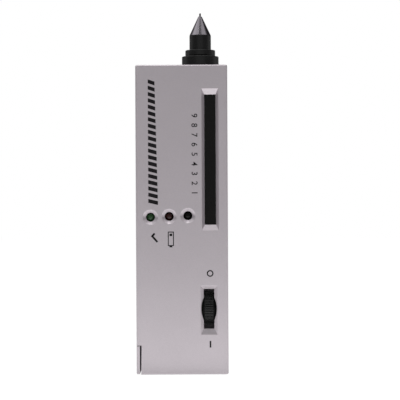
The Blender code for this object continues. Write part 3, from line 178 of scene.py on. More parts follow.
def slab(outline: Sequence[Point], thickness: float, turn: Matrix) -> Shape:
    """A flat outline given a thickness.

    Args:
        outline: corners in the outline's own plane, anticlockwise.
        thickness: how thick it is, behind that plane.
        turn: takes the plane to its place.

    Returns:
        The slab.
    """
    bm = bmesh.new()
    top = bm.faces.new([bm.verts.new((x, y, 0)) for x, y in outline])
    made = bmesh.ops.extrude_face_region(bm, geom=[top])["geom"]
    moved = [v for v in made if isinstance(v, bmesh.types.BMVert)]
    bmesh.ops.translate(bm, verts=moved, vec=(0, 0, -thickness))
    bmesh.ops.recalc_face_normals(bm, faces=bm.faces)
    bm.transform(turn)
    return bm


def merged(shapes: Iterable[Shape]) -> Shape:
    """Puts several shapes into one.

    Args:
        shapes: the shapes, which are used up.

    Returns:
        One shape that holds them all.
    """
    whole = bmesh.new()
    for shape in shapes:
        mesh = bpy.data.meshes.new("part")
        shape.to_mesh(mesh)
        shape.free()
        whole.from_mesh(mesh)
        bpy.data.meshes.remove(mesh)
    return whole


def node_shape(node: str) -> Shape:
    """A merged copy of a CAD node's mesh, with flat areas as single faces.

    Args:
        node: the CAD node.

    Returns:
        The copy as a shape.
    """
    bm = bmesh.new()
    bm.from_mesh(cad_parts[node].data)
    bmesh.ops.remove_doubles(bm, verts=bm.verts, dist=SAME_CAD_PLACE)
    bmesh.ops.dissolve_limit(bm, angle_limit=math.radians(FLAT_ANGLE), verts=bm.verts, edges=bm.edges)
    return bm


def heights(node: str) -> Point:
    """The lowest and the highest level of a CAD node at rest."""
    low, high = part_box(node)
    return low.z, high.z


def round_rims(shape: Shape, plane_y: float, radius: float, least: float = 18.0) -> None:
    """Rounds the sharp rims that lie in one face of the case.

    Args:
        shape: the shape to change.
        plane_y: where that face lies.
        radius: how far the rounding reaches.
        least: the smallest angle in degrees of a rim that is rounded.
    """
    rims = [
        edge
        for edge in shape.edges
        if len(edge.link_faces) == 2
        and all(abs(v.co.y - plane_y) < SAME_CAD_PLACE for v in edge.verts)
        and edge.calc_face_angle(0.0) > math.radians(least)
    ]
    bmesh.ops.bevel(
        shape, geom=rims, offset=radius, segments=2, profile=0.5, affect="EDGES", clamp_overlap=True
    )


# Node trees


class Nodes:
    """A node tree under construction, with short calls for its nodes."""

    def __init__(self, tree: bpy.types.NodeTree) -> None:
        """Keeps the tree that the nodes go into."""
        self.tree = tree

    def node(self, kind: str, inputs: dict[str | int, object], **settings: object) -> bpy.types.Node:
        """Adds a node.

        Args:
            kind: the node's type.
            inputs: values or sockets for its inputs, by name or number.
            settings: its properties.

        Returns:
            The node.
        """
        made = self.tree.nodes.new(kind)
        for key, value in settings.items():
            setattr(made, key, value)
        for key, value in inputs.items():
            if isinstance(value, bpy.types.NodeSocket):
                self.tree.links.new(value, made.inputs[key])
            else:
                made.inputs[key].default_value = value
        return made

    def sum(self, operation: str, *terms: object) -> Socket:
        """A sum on numbers, such as MULTIPLY or DIVIDE, as its result's socket."""
        return self.node("ShaderNodeMath", dict(enumerate(terms)), operation=operation).outputs[0]

    def seen(self, *rays: str) -> Socket:
        """A socket that is 1 for the rays named and 0 for the rest.

        Args:
            rays: the rays, as the Light Path node names them.

        Returns:
            The socket.
        """
        path = self.node("ShaderNodeLightPath", {})
        level = path.outputs[rays[0]]
        for name in rays[1:]:
            level = self.sum("MAXIMUM", level, path.outputs[name])
        return level

    def ramp(self, value: Socket, edge: Point, level: float = 1.0) -> Socket:
        """Takes a value smoothly from 0 where the edge starts to a level where it ends."""
        inputs = {"Value": value, "From Min": edge[0], "From Max": edge[1], "To Min": 0.0, "To Max": level}
        return self.node("ShaderNodeMapRange", inputs, interpolation_type="SMOOTHSTEP").outputs[0]

    def blend(self, share: Socket, first: object, second: object) -> Socket:
        """A number between two, by a share."""
        rest = self.sum("MULTIPLY", self.sum("SUBTRACT", 1.0, share), first)
        return self.sum("ADD", rest, self.sum("MULTIPLY", share, second))


# Finishes


def tinted(colour: Colour, share: float) -> Colour:
    """A colour made lighter or darker by a share."""
    return tuple(min(1.0, c * share) for c in colour)


class Recipe(Nodes):
    """A material under construction, with short calls for its patterns."""

    def __init__(self, name: str, colour: Colour, roughness: float, **sockets: object) -> None:
        """Starts from a Principled shader.

        Args:
            name: the material's name.
            colour: its main colour.
            roughness: its main roughness.
            sockets: other constants of the shader, with underscores for spaces.
        """
        self.material = bpy.data.materials.new(name)
        self.material.use_nodes = True
        super().__init__(self.material.node_tree)
        self.shader = self.tree.nodes["Principled BSDF"]
        self.shader.inputs["Base Color"].default_value = (*colour, 1)
        self.shader.inputs["Roughness"].default_value = roughness
        for key, value in sockets.items():
            self.shader.inputs[key.replace("_", " ")].default_value = value
        self.place = self.tree.nodes.new("ShaderNodeTexCoord").outputs["Object"]

    def stretched(self, scale: Place) -> Socket:
        """The object's coordinates, scaled along each axis."""
        return self.node("ShaderNodeMapping", {"Vector": self.place, "Scale": tuple(scale)}).outputs[0]

    def noise(self, size: float, detail: float = 2.0, vector: Socket | None = None) -> Socket:
        """Cloudy noise from 0 to 1 whose features are about as large as the size given."""
        inputs = {"Vector": vector or self.place, "Scale": 1.0 / size, "Detail": detail}
        return self.node("ShaderNodeTexNoise", inputs).outputs[0]

    def flakes(self, size: float) -> Socket:
        """Small cells, each of one random level from 0 to 1."""
        cells = self.node("ShaderNodeTexVoronoi", {"Vector": self.place, "Scale": 1.0 / size})
        return self.node("ShaderNodeSeparateColor", {0: cells.outputs["Color"]}).outputs[0]

    def span(self, factor: Socket, low: float, high: float, start: float = 0.3, end: float = 0.7) -> Socket:
        """Takes a pattern's levels from start and end to low and high."""
        inputs = {"Value": factor, "From Min": start, "From Max": end, "To Min": low, "To Max": high}
        return self.node("ShaderNodeMapRange", inputs).outputs[0]

    def mix(self, factor: object, first: object, second: object) -> Socket:
        """A colour between two, by a pattern or a share."""
        ends = [(*colour, 1) if isinstance(colour, tuple) else colour for colour in (first, second)]
        return self.node("ShaderNodeMix", {0: factor, 6: ends[0], 7: ends[1]}, data_type="RGBA").outputs[2]

    def tints(self, factor: Socket, colour: Colour, share: float) -> Socket:
        """A colour made darker and lighter by a share, by a pattern."""
        return self.mix(factor, tinted(colour, 1.0 - share), tinted(colour, 1.0 + share))

    def clouds(self, colour: Colour, share: float, size: float, detail: float) -> Socket:
        """A colour made darker and lighter by a share, in cloudy spots of about the size given."""
        return self.tints(self.span(self.noise(size, detail), 0.0, 1.0), colour, share)

    def coloured(self, socket: Socket) -> None:
        """Sets the shader's colour from a pattern."""
        self.tree.links.new(socket, self.shader.inputs["Base Color"])

    def roughened(self, pattern: Socket, low: float, high: float) -> None:
        """Sets the shader's roughness between two levels, by a pattern."""
        self.tree.links.new(self.span(pattern, low, high), self.shader.inputs["Roughness"])

    def raised(self, *layers: tuple[Socket, float]) -> None:
        """Raises the surface by one or more patterns.

        Args:
            layers: each pattern with its height in metres.
        """
        normal: dict[str, object] = {}
        for height, distance in layers:
            inputs = {"Height": height, "Distance": distance, "Strength": 1.0, **normal}
            normal = {"Normal": self.node("ShaderNodeBump", inputs).outputs[0]}
        self.tree.links.new(normal["Normal"], self.shader.inputs["Normal"])


@dataclass(frozen=True)
class SilverPaint:
    """Fine silver-grey paint on moulded plastic: flakes, a soft orange peel and faint cloudiness."""

    colour: Colour = (0.575, 0.528, 0.562)
    roughness: float = 0.36
    rougher: Point = (-0.05, 0.06)
    rough_size: float = 0.0009
    metallic: float = 0.68
    shine: float = 0.4
    cloud: float = 0.018
    cloud_share: float = 0.025
    flake: float = 0.00016
    flake_share: float = 0.1
    flake_cover: float = 0.45
    flake_depth: float = 0.0000035
    peel: float = 0.0007
    peel_depth: float = 0.000004

    def make(self) -> bpy.types.Material:
        """Builds the material."""
        made = Recipe(
            "silver_paint", self.colour, self.roughness, Metallic=self.metallic, Specular_IOR_Level=self.shine
        )
        base = made.clouds(self.colour, self.cloud_share, self.cloud, 3.0)
        flakes = made.span(made.flakes(self.flake), 0.0, 1.0, 0.0, 1.0)
        made.coloured(made.mix(self.flake_cover, base, made.tints(flakes, self.colour, self.flake_share)))
        low, high = (self.roughness + change for change in self.rougher)
        made.roughened(made.noise(self.rough_size, 3.0), low, high)
        made.raised((made.noise(self.peel, 1.0), self.peel_depth), (made.noise(self.flake), self.flake_depth))
        return made.material


@dataclass(frozen=True)
class Moulding:
    """Moulded plastic with a fine spark-eroded grain."""

    name: str
    colour: Colour
    roughness: float = 0.38
    grain: float = 0.00022
    depth: float = 0.000005
    coat: float = 0.0
    shine: float = 0.45
    coat_roughness: float = 0.18
    rougher: Point = (-0.07, 0.09)
    rough_size: float = 0.0006
    cloud: float = 0.004
    cloud_share: float = 0.14

    def make(self) -> bpy.types.Material:
        """Builds the material."""
        coat = {"Coat_Weight": self.coat, "Coat_Roughness": self.coat_roughness}
        made = Recipe(self.name, self.colour, self.roughness, Specular_IOR_Level=self.shine, **coat)
        made.coloured(made.clouds(self.colour, self.cloud_share, self.cloud, 4.0))
        low, high = (self.roughness + change for change in self.rougher)
        made.roughened(made.noise(self.rough_size, 3.0), low, high)
        made.raised((made.noise(self.grain), self.depth))
        return made.material


@dataclass(frozen=True)
class LampLens:
    """Tinted clear moulding of a lamp, a little milky inside."""

    name: str
    colour: Colour
    milk: float = 0.35
    ior: float = 1.5
    roughness: float = 0.12
    rough: Point = (0.09, 0.18)
    rough_size: float = 0.0005
    shine: float = 0.12
    cloud: float = 0.0008
    cloud_share: float = 0.15
    wave: float = 0.0012
    wave_depth: float = 0.000004

    def make(self) -> bpy.types.Material:
        """Builds the material."""
        clear = {"IOR": self.ior, "Transmission_Weight": 1.0 - self.milk}
        made = Recipe(self.name, self.colour, self.roughness, Specular_IOR_Level=self.shine, **clear)
        made.coloured(made.clouds(self.colour, self.cloud_share, self.cloud, 2.0))
        made.roughened(made.noise(self.rough_size), *self.rough)
        made.raised((made.noise(self.wave, 1.0), self.wave_depth))
        return made.material


@dataclass(frozen=True)
class FilterSheet:
    """Dark filter sheet behind the window, glossy with a faint waviness and a little dust."""

    colour: Colour = (0.0045, 0.0045, 0.004)
    dust_colour: Colour = (0.03, 0.03, 0.03)
    dust: float = 0.00009
    dust_levels: Point = (0.74, 0.8)
    roughness: float = 0.16
    rough: Point = (0.12, 0.24)
    rough_size: float = 0.004
    shine: float = 0.16
    wave: float = 0.006
    wave_depth: float = 0.00001

    def make(self) -> bpy.types.Material:
        """Builds the material."""
        made = Recipe("dark_filter", self.colour, self.roughness, Specular_IOR_Level=self.shine, IOR=1.49)
        dust = made.span(made.noise(self.dust, 0.0), 0.0, 1.0, *self.dust_levels)
        made.coloured(made.mix(dust, self.colour, self.dust_colour))
        made.roughened(made.noise(self.rough_size, 3.0), *self.rough)
        made.raised((made.noise(self.wave, 1.0), self.wave_depth))
        return made.material


class Lay(Enum):
    """How the fine lines of a metal finish run."""

    TURNED_UP = (0.02, 0.02, 1.0)
    ALONG_Z = (1.0, 1.0, 0.015)
    PLAIN = (1.0, 1.0, 1.0)


@dataclass(frozen=True)
class Metal:
    """Bare or plated metal with fine machining lines and slight stains."""

    name: str
    colour: Colour
    roughness: float
    lay: Lay = Lay.PLAIN
    line: float = 0.00006
    depth: float = 0.0000015
    edge: float = 1.0
    stain: float = 0.1
    stain_size: float = 0.003
    rough_shares: Point = (0.8, 1.25)

    def make(self) -> bpy.types.Material:
        """Builds the material."""
        edge = (self.edge, self.edge, self.edge, 1)
        made = Recipe(self.name, self.colour, self.roughness, Metallic=1.0, Specular_Tint=edge)
        lines = made.noise(self.line, 2.0, made.stretched(self.lay.value))
        made.coloured(made.clouds(self.colour, self.stain, self.stain_size, 4.0))
        low, high = (self.roughness * share for share in self.rough_shares)
        made.roughened(lines, low, high)
        made.raised((lines, self.depth))
        return made.material


@dataclass(frozen=True)
class SolderMask:
    """Green board with tracks under its mask and a slight orange peel."""

    colour: Colour = (0.012, 0.09, 0.035)
    track_share: float = 1.9
    track_scale: Triple = (900.0, 0.0, 340.0)
    track_gap: float = 0.06
    track_depth: float = 0.00002
    roughness: float = 0.28
    rough: Point = (0.22, 0.36)
    rough_size: float = 0.001
    peel: float = 0.0008
    peel_depth: float = 0.000004

    def make(self) -> bpy.types.Material:
        """Builds the material."""
        made = Recipe("solder_mask", self.colour, self.roughness, Coat_Weight=0.4, Coat_Roughness=0.12)
        cells = made.node(
            "ShaderNodeTexBrick",
            {"Vector": made.stretched(self.track_scale), "Scale": 1.0, "Mortar Size": self.track_gap},
        )
        tracks = made.span(cells.outputs["Fac"], 0.0, 1.0, 0.0, 1.0)
        made.coloured(made.mix(tracks, self.colour, tinted(self.colour, self.track_share)))
        made.roughened(made.noise(self.rough_size, 3.0), *self.rough)
        made.raised((tracks, self.track_depth), (made.noise(self.peel), self.peel_depth))
        return made.material


@dataclass(frozen=True)
class Ink:
    """Screen-printed ink, slightly uneven where it lies on the paint's grain."""

    colour: Colour = (0.006, 0.005, 0.006)
    shine: float = 0.15
    wear: float = 0.00012
    wear_levels: Point = (0.35, 0.8)
    wear_share: float = 2.4
    roughness: float = 0.5
    rough: Point = (0.42, 0.6)
    rough_size: float = 0.0004
    grain: float = 0.00016
    depth: float = 0.000003

    def make(self) -> bpy.types.Material:
        """Builds the material."""
        made = Recipe("print_ink", self.colour, self.roughness, Specular_IOR_Level=self.shine)
        wear = made.span(made.noise(self.wear), 0.0, 1.0, *self.wear_levels)
        made.coloured(made.mix(wear, self.colour, tinted(self.colour, self.wear_share)))
        made.roughened(made.noise(self.rough_size), *self.rough)
        made.raised((made.noise(self.grain), self.depth))
        return made.material


@dataclass(frozen=True)
class CanWrap:
    """Plain printed wrap of the block battery: two bands with fine scuffs."""

    low: Colour = (0.02, 0.04, 0.16)
    high: Colour = (0.34, 0.35, 0.37)
    border: float = 0.0385
    border_blur: float = 0.0001
    scuff_colour: Colour = (0.25, 0.26, 0.28)
    scuff: float = 0.0002
    scuff_stretch: Triple = (1.0, 1.0, 0.12)
    scuff_levels: Point = (0.62, 0.75)
    scuff_depth: float = -0.000008
    roughness: float = 0.3
    rough: Point = (0.25, 0.5)

    def make(self) -> bpy.types.Material:
        """Builds the material."""
        made = Recipe(
            "battery_wrap", self.low, self.roughness, Metallic=0.35, Coat_Weight=0.5, Coat_Roughness=0.15
        )
        height = made.node("ShaderNodeSeparateXYZ", {0: made.place}).outputs["Z"]
        band = made.span(height, 0.0, 1.0, self.border, self.border + self.border_blur)
        noise = made.noise(self.scuff, 3.0, made.stretched(self.scuff_stretch))
        scuffs = made.span(noise, 0.0, 1.0, *self.scuff_levels)
        made.coloured(made.mix(scuffs, made.mix(band, self.low, self.high), self.scuff_colour))
        rough = made.span(scuffs, *self.rough, 0.0, 1.0)
        made.tree.links.new(rough, made.shader.inputs["Roughness"])
        made.raised((scuffs, self.scuff_depth))
        return made.material


@dataclass(frozen=True)
class WhiteFloor:
    """White floor that looks lit by itself to the camera and in what is glossy, with a faint shadow."""

    bright: float = 0.8
    faint: float = 0.2
    glow: float = 0.9

    def make(self) -> bpy.types.Material:
        """Builds the material."""
        material = bpy.data.materials.new("white_floor")
        material.use_nodes = True
        made = Nodes(material.node_tree)
        made.tree.nodes.clear()
        bright, faint = (
            made.node("ShaderNodeBsdfDiffuse", {"Color": (level, level, level, 1)}).outputs[0]
            for level in (self.bright, self.faint)
        )
        glow = made.node("ShaderNodeEmission", {"Strength": self.glow}).outputs[0]
        both = made.node("ShaderNodeAddShader", {0: faint, 1: glow}).outputs[0]
        looked = made.seen("Is Camera Ray", "Is Glossy Ray", "Is Transmission Ray")
        mixed = made.node("ShaderNodeMixShader", {0: looked, 1: bright, 2: both}).outputs[0]
        made.node("ShaderNodeOutputMaterial", {"Surface": mixed})
        return material


class Finish(Enum):
    """Every finish of the tester, with the record's material slot that it belongs to."""

    PAINT = ("case", SilverPaint())
    BLACK = ("black_plastic", Moulding("satin_black", (0.0037, 0.0038, 0.0038), 0.3, shine=0.38))
    # The wheel's ridges are the core's plastic painted lighter: painted highlight on the ridge crests.
    WHEEL = ("black_plastic", Moulding("wheel_ridges_lit_black", (0.0058, 0.0064, 0.0062), 0.24, 0.00015, shine=0.72))
    # The wheel core is the ridges' plastic painted darker: painted shade in the grooves between the ridges
    # and on the shoulders.
    WHEEL_CORE = ("black_plastic", Moulding("wheel_core_shaded_black", (0.0016, 0.0018, 0.0018), 0.5, shine=0.1))
    GREY = ("grey_plastic", Moulding("grey_moulding", (0.09, 0.09, 0.092), 0.45))
    PALE = ("white_plastic", Moulding("pale_segment", (0.5, 0.47, 0.44), 0.4))
    WHITE = ("white_plastic", Moulding("white_moulding", (0.68, 0.66, 0.61), 0.36))
    BLUE = ("blue_plastic", Moulding("blue_moulding", (0.02, 0.06, 0.3), 0.25, coat=0.4))
    FILTER = ("filter", FilterSheet())
    GREEN_LENS = ("green_lens", LampLens("green_lens", (0.03, 0.11, 0.032)))
    RED_LENS = ("red_lens", LampLens("red_lens", (0.045, 0.005, 0.004)))
    DARK_LENS = ("dark_lens", LampLens("dark_lens", (0.003, 0.002, 0.002), 0.9))
    CONE = (
        "polished_metal",
        Metal("turned_cone", (0.225, 0.21, 0.23), 0.14, Lay.TURNED_UP, 0.00009, edge=0.18),
    )
    NEEDLE = ("steel", Metal("needle_steel", (0.03, 0.029, 0.03), 0.35, Lay.ALONG_Z, edge=0.08))
    PLATED = ("steel", Metal("plated_steel", (0.55, 0.55, 0.53), 0.28))
    BRUSHED = (
        "steel",
        Metal("brushed_steel", (0.58, 0.58, 0.57), 0.27, Lay.ALONG_Z, 0.00012, 0.000002, stain=0.025),
    )
    BRASS = ("brass", Metal("machined_brass", (0.6, 0.42, 0.16), 0.24, Lay.TURNED_UP))
    TIN = ("steel", Metal("tinned_leg", (0.62, 0.62, 0.6), 0.22))
    BOARD = ("board", SolderMask())
    INK = ("black_plastic", Ink())
    WRAP = ("battery_can", CanWrap())
    RED_WIRE = ("red_wire", Moulding("red_sleeve", (0.42, 0.012, 0.01), 0.3, coat=0.3))
    BLACK_WIRE = ("black_plastic", Moulding("black_sleeve", (0.012, 0.012, 0.012), 0.3, coat=0.3))
    WHITE_WIRE = ("white_plastic", Moulding("white_sleeve", (0.66, 0.65, 0.6), 0.3, coat=0.3))

    @property
    def slot(self) -> str:
        """The record's material slot."""
        return self.value[0]

    @cached_property
    def material(self) -> bpy.types.Material:
        """The finish's material, made when it is first asked for."""
        return self.value[1].make()


# Pieces


def even_normals(mesh: bpy.types.Mesh, crease: float) -> None:
    """Shades a mesh smooth up to an angle, with its large flat faces kept flat.

    Each corner leans towards the faces round its point that lie within the angle, the larger ones most.

    Args:
        mesh: the mesh to shade.
        crease: the angle in degrees past which faces stay apart.
    """
    limit = math.cos(math.radians(crease))
    shape = bmesh.new()
    shape.from_mesh(mesh)
    areas = [face.calc_area() for face in shape.faces]
    normals = []
    for face in shape.faces:
        for corner in face.loops:
            total = face.normal * areas[face.index]
            for near in corner.vert.link_faces:
                if near is not face and near.normal.dot(face.normal) >= limit:
                    total = total + near.normal * areas[near.index]
            normals.append(total.normalized())
    shape.free()
    mesh.shade_smooth()
    mesh.normals_split_custom_set(normals)


def piece(name: str, shape: Shape, material: bpy.types.Material, crease: float = CREASE) -> bpy.types.Object:
    """Makes an object of a shape, smooth up to an angle.

    Args:
        name: the piece's name.
        shape: the shape, which is used up.
        material: its material.
        crease: the angle in degrees past which an edge stays sharp.

    Returns:
        The object, at the origin with its place in its mesh.
    """
    mesh = bpy.data.meshes.new(name)
    shape.to_mesh(mesh)
    shape.free()
    if mesh.polygons:
        even_normals(mesh, crease)
    mesh.materials.append(material)
    made = bpy.data.objects.new(name, mesh)
    bpy.context.scene.collection.objects.link(made)
    return made


def final_mesh(made: bpy.types.Object) -> bpy.types.Mesh:
    """An object's mesh with its modifiers run, or its text turned into faces."""
    graph = bpy.context.evaluated_depsgraph_get()
    return bpy.data.meshes.new_from_object(made.evaluated_get(graph), depsgraph=graph)


def settle(
    made: bpy.types.Object, body: str = "case", stands_for: Sequence[str] = ()
) -> bpy.types.Object:
    """Gives a finished piece to its body and the CAD nodes that it stands for.

    Args:
        made: the piece.
        body: the CAD body that it moves with.
        stands_for: CAD nodes that it replaces.

    Returns:
        The same piece.
    """
    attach(made, body)
    if stands_for:
        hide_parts(*stands_for)
    log.info("%s: %d faces on %s", made.name, len(made.data.polygons), body)
    return made


def add(
    name: str,
    shape: Shape,
    finish: Finish,
    body: str = "case",
    stands_for: Sequence[str] = (),
    crease: float = CREASE,
) -> bpy.types.Object:
    """Makes a piece of a shape and settles it.

    Args:
        name: the piece's name.
        shape: the shape, which is used up.
        finish: its finish.
        body: the CAD body that it moves with.
        stands_for: CAD nodes that it replaces.
        crease: the angle in degrees past which an edge stays sharp.

    Returns:
        The piece.
    """
    return settle(piece(name, shape, finish.material, crease), body, stands_for)


def cut_out(target: bpy.types.Object, tool: bpy.types.Object) -> None:
    """Cuts one shape out of another and removes the tool.

    Args:
        target: what is cut.
        tool: what cuts it.
    """
    modifier = target.modifiers.new("cut", "BOOLEAN")
    modifier.object = tool
    modifier.solver = "EXACT"
    mesh = final_mesh(target)
    target.modifiers.clear()
    target.data = mesh
    bpy.data.objects.remove(tool)


# Repeated shapes


class Grower(Nodes):
    """A Geometry Nodes tree that is built here, run once and turned into a plain mesh."""

    def __init__(self, name: str) -> None:
        """Starts a tree with the template's geometry as its first input.

        Args:
            name: the tree's name.
        """
        super().__init__(bpy.data.node_groups.new(name, "GeometryNodeTree"))
        self.tree.interface.new_socket("Template", in_out="INPUT", socket_type="NodeSocketGeometry")
        self.tree.interface.new_socket("Made", in_out="OUTPUT", socket_type="NodeSocketGeometry")
        self.start = self.tree.nodes.new("NodeGroupInput")
        self.end = self.tree.nodes.new("NodeGroupOutput")
        self.template = self.start.outputs["Template"]
        self.values: dict[str, object] = {}

    def named(self, name: str, kind: str, value: object) -> Socket:
        """Adds a named input to the tree.

        Args:
            name: the input's name.
            kind: the kind of socket, such as Float, Int, Vector or Object.
            value: what the input is set to before the tree is run.

        Returns:
            The socket that carries it inside the tree.
        """
        item = self.tree.interface.new_socket(name, in_out="INPUT", socket_type=f"NodeSocket{kind}")
        self.values[item.identifier] = value
        return self.start.outputs[name]

    def turn(self, axis: Place, angle: object) -> Socket:
        """A rotation about an axis by an angle in radians."""
        inputs = {"Axis": tuple(axis), "Angle": angle}
        return self.node("FunctionNodeAxisAngleToRotation", inputs).outputs[0]

    def copies(self, points: Socket, instance: Socket, **inputs: object) -> Socket:
        """Copies of a shape on points, with a Rotation or a Scale if given."""
        inputs = {"Points": points, "Instance": instance, **inputs}
        return self.node("GeometryNodeInstanceOnPoints", inputs).outputs[0]

    def grow(self, name: str, geometry: Socket, finish: Finish, template: Shape) -> bpy.types.Object:
        """Runs the tree on a template and keeps the result as a plain mesh.

        Args:
            name: the piece's name.
            geometry: the socket with what was made.
            finish: its finish.
            template: the shape that the tree starts from, which is used up.

        Returns:
            The piece, without its modifier.
        """
        real = self.node("GeometryNodeRealizeInstances", {"Geometry": geometry}).outputs[0]
        dressed = self.node("GeometryNodeSetMaterial", {"Geometry": real, "Material": finish.material})
        self.tree.links.new(dressed.outputs[0], self.end.inputs["Made"])
        made = piece(name, template, finish.material)
        modifier = made.modifiers.new("grow", "NODES")
        modifier.node_group = self.tree
        for identifier, value in self.values.items():
            modifier[identifier] = value
        mesh = final_mesh(made)
        made.modifiers.clear()
        made.data = mesh
        mesh.name = name
        even_normals(mesh, CREASE)
        return made


def in_a_row(
    name: str, template: Shape, finish: Finish, count: int, step: Place, growth: float = 0.0
) -> bpy.types.Object:
    """Repeats a shape along a line, each copy a little larger than the one before if asked.

    Args:
        name: the piece's name.
        template: the first shape, about the origin of its own growth.
        finish: its finish.
        count: how many there are.
        step: from each copy to the next.
        growth: how much each copy gains in X, as a share of the first.

    Returns:
        The row as one piece.
    """
    grower = Grower(f"{name}_row")
    number = grower.named("Count", "Int", count)
    offset = grower.named("Step", "Vector", tuple(step))
    gain = grower.named("Growth", "Float", growth)
    line = grower.node("GeometryNodeMeshLine", {"Count": number, "Offset": offset}, mode="OFFSET")
    index = grower.node("GeometryNodeInputIndex", {}).outputs[0]
    width = grower.sum("MULTIPLY_ADD", index, gain, 1.0)
    scale = grower.node("ShaderNodeCombineXYZ", {"X": width, "Y": 1.0, "Z": 1.0}).outputs[0]
    copies = grower.copies(line.outputs[0], grower.template, Scale=scale)
    return grower.grow(name, copies, finish, template)


def in_a_ring(
    name: str, template: Shape, finish: Finish, count: int, centre: Place, axis: Place
) -> bpy.types.Object:
    """Repeats a shape round an axis.

    Args:
        name: the piece's name.
        template: the shape, drawn with the axis through the origin.
        finish: its finish.
        count: how many there are.
        centre: where the axis passes.
        axis: its direction.

    Returns:
        The ring as one piece.
    """
    grower = Grower(f"{name}_ring")
    number = grower.named("Count", "Int", count)
    place = grower.named("Centre", "Vector", tuple(centre))
    spots = {"Count": number, "Start Location": place, "Offset": (0.0, 0.0, 0.0)}
    line = grower.node("GeometryNodeMeshLine", spots, mode="OFFSET")
    index = grower.node("GeometryNodeInputIndex", {}).outputs[0]
    angle = grower.sum("MULTIPLY", grower.sum("DIVIDE", index, number), math.tau)
    copies = grower.copies(line.outputs[0], grower.template, Rotation=grower.turn(axis, angle))
    return grower.grow(name, copies, finish, template)


# Sub-assemblies


@dataclass
class Case:
    """The two painted shells, the battery door and the touch plate on the back."""

    rim: float = 0.00014
    back_rim: float = 0.00012
    plate_rim: float = 0.00018
    plate_least: float = 40.0
    crease: float = 24.0

    def build(self) -> None:
        """Makes the shells, the door and the plate."""
        for node, body, plane, radius in (
            ("front_shell", "case", FRONT_Y, self.rim),
            ("rear_shell", "case", BACK_Y, self.back_rim),
            ("battery_door", "door", BACK_Y, self.back_rim),
        ):
            shape = node_shape(node)
            round_rims(shape, plane, radius)
            add(f"{node}_painted", shape, Finish.PAINT, body, [node], self.crease)
        plate = node_shape("touch_plate")
        round_rims(plate, BACK_Y, self.plate_rim, self.plate_least)
        add("touch_plate_brushed", plate, Finish.BRUSHED, stands_for=["touch_plate"])


@dataclass
class Window:
    """The dark filter and the two rows of lamp bars behind it."""

    filter_edge: float = 0.00015
    body_edge: float = 0.0002
    bars: int = 10
    bar_width: float = 0.0050
    bar_height: float = 0.0019
    bar_edge: float = 0.00003
    proud: float = 0.00008

    def build(self) -> None:
        """Makes the filter and both bar rows."""
        sheet = block(*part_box("display_lens"), self.filter_edge)
        add("window_filter", sheet, Finish.FILTER, stands_for=["display_lens"])
        half = self.bar_width / 2
        for node in ("bargraph_lower", "bargraph_upper"):
            low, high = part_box(node)
            add(f"{node}_body", block(low, high, self.body_edge), Finish.GREY, stands_for=[node])
            pitch = (high.z - low.z) / self.bars
            middle = (low.x + high.x) / 2
            bottom = low.z + (pitch - self.bar_height) / 2
            start = (middle - half, low.y - self.proud, bottom)
            end = (middle + half, low.y + self.proud, bottom + self.bar_height)
            segment = block(start, end, self.bar_edge, 1)
            settle(in_a_row(f"{node}_bars", segment, Finish.PALE, self.bars, (0, 0, pitch)))


@dataclass
class Lamps:
    """The three lamps in their conical recesses, each a lens over a cup on two legs."""

    lens_radius: float = 0.0018
    lens_foot: float = 0.0034
    dome_step: int = 6
    flange_radius: float = 0.0021
    flange_height: float = 0.0007
    cup: tuple[Point, ...] = (
        (0.0, -0.0006),
        (0.00036, -0.0006),
        (0.0008, 0.0),
        (0.00092, 0.0),
        (0.00064, -0.0016),
        (0.0, -0.0016),
    )
    cup_edge: float = 0.00008
    leg_spread: float = 0.0009
    leg_half: float = 0.00022
    leg_edge: float = 0.00005
    leg_gap: float = 0.00005

    def build(self) -> None:
        """Makes the lamps."""
        self.lamp("led_ready", Finish.GREEN_LENS)
        self.lamp("led_low_battery", Finish.RED_LENS)
        self.lamp("led_contact", Finish.DARK_LENS)

    def lamp(self, node: str, lens: Finish) -> None:
        """Makes one lamp.

        Args:
            node: the CAD node that it stands for.
            lens: the lens's finish.
        """
        low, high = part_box(node)
        x, z = (low.x + high.x) / 2, (low.z + high.z) / 2
        radius, foot, flange = self.lens_radius, -self.lens_foot, self.flange_radius
        angles = [math.radians(degrees) for degrees in range(0, 91, self.dome_step)]
        dome = [(radius * math.sin(angle), radius * math.cos(angle)) for angle in angles]
        rim = foot + self.flange_height
        outline = dome + [(radius, rim), (flange, rim), (flange, foot), (0.0, foot)]
        centre = (x, low.y + radius, z)
        add(f"{node}_lens", lathe(outline, centre, Way.FRONT, 64), lens, stands_for=[node])
        add(f"{node}_cup", lathe(soften(self.cup, self.cup_edge), centre, Way.FRONT, 32), Finish.TIN)
        start, half = low.y + radius + self.lens_foot + self.leg_gap, self.leg_half
        legs = [
            block((leg - half, start, z - half), (leg + half, high.y, z + half), self.leg_edge, 1)
            for leg in (x - self.leg_spread, x + self.leg_spread)
        ]
        add(f"{node}_legs", merged(legs), Finish.TIN)


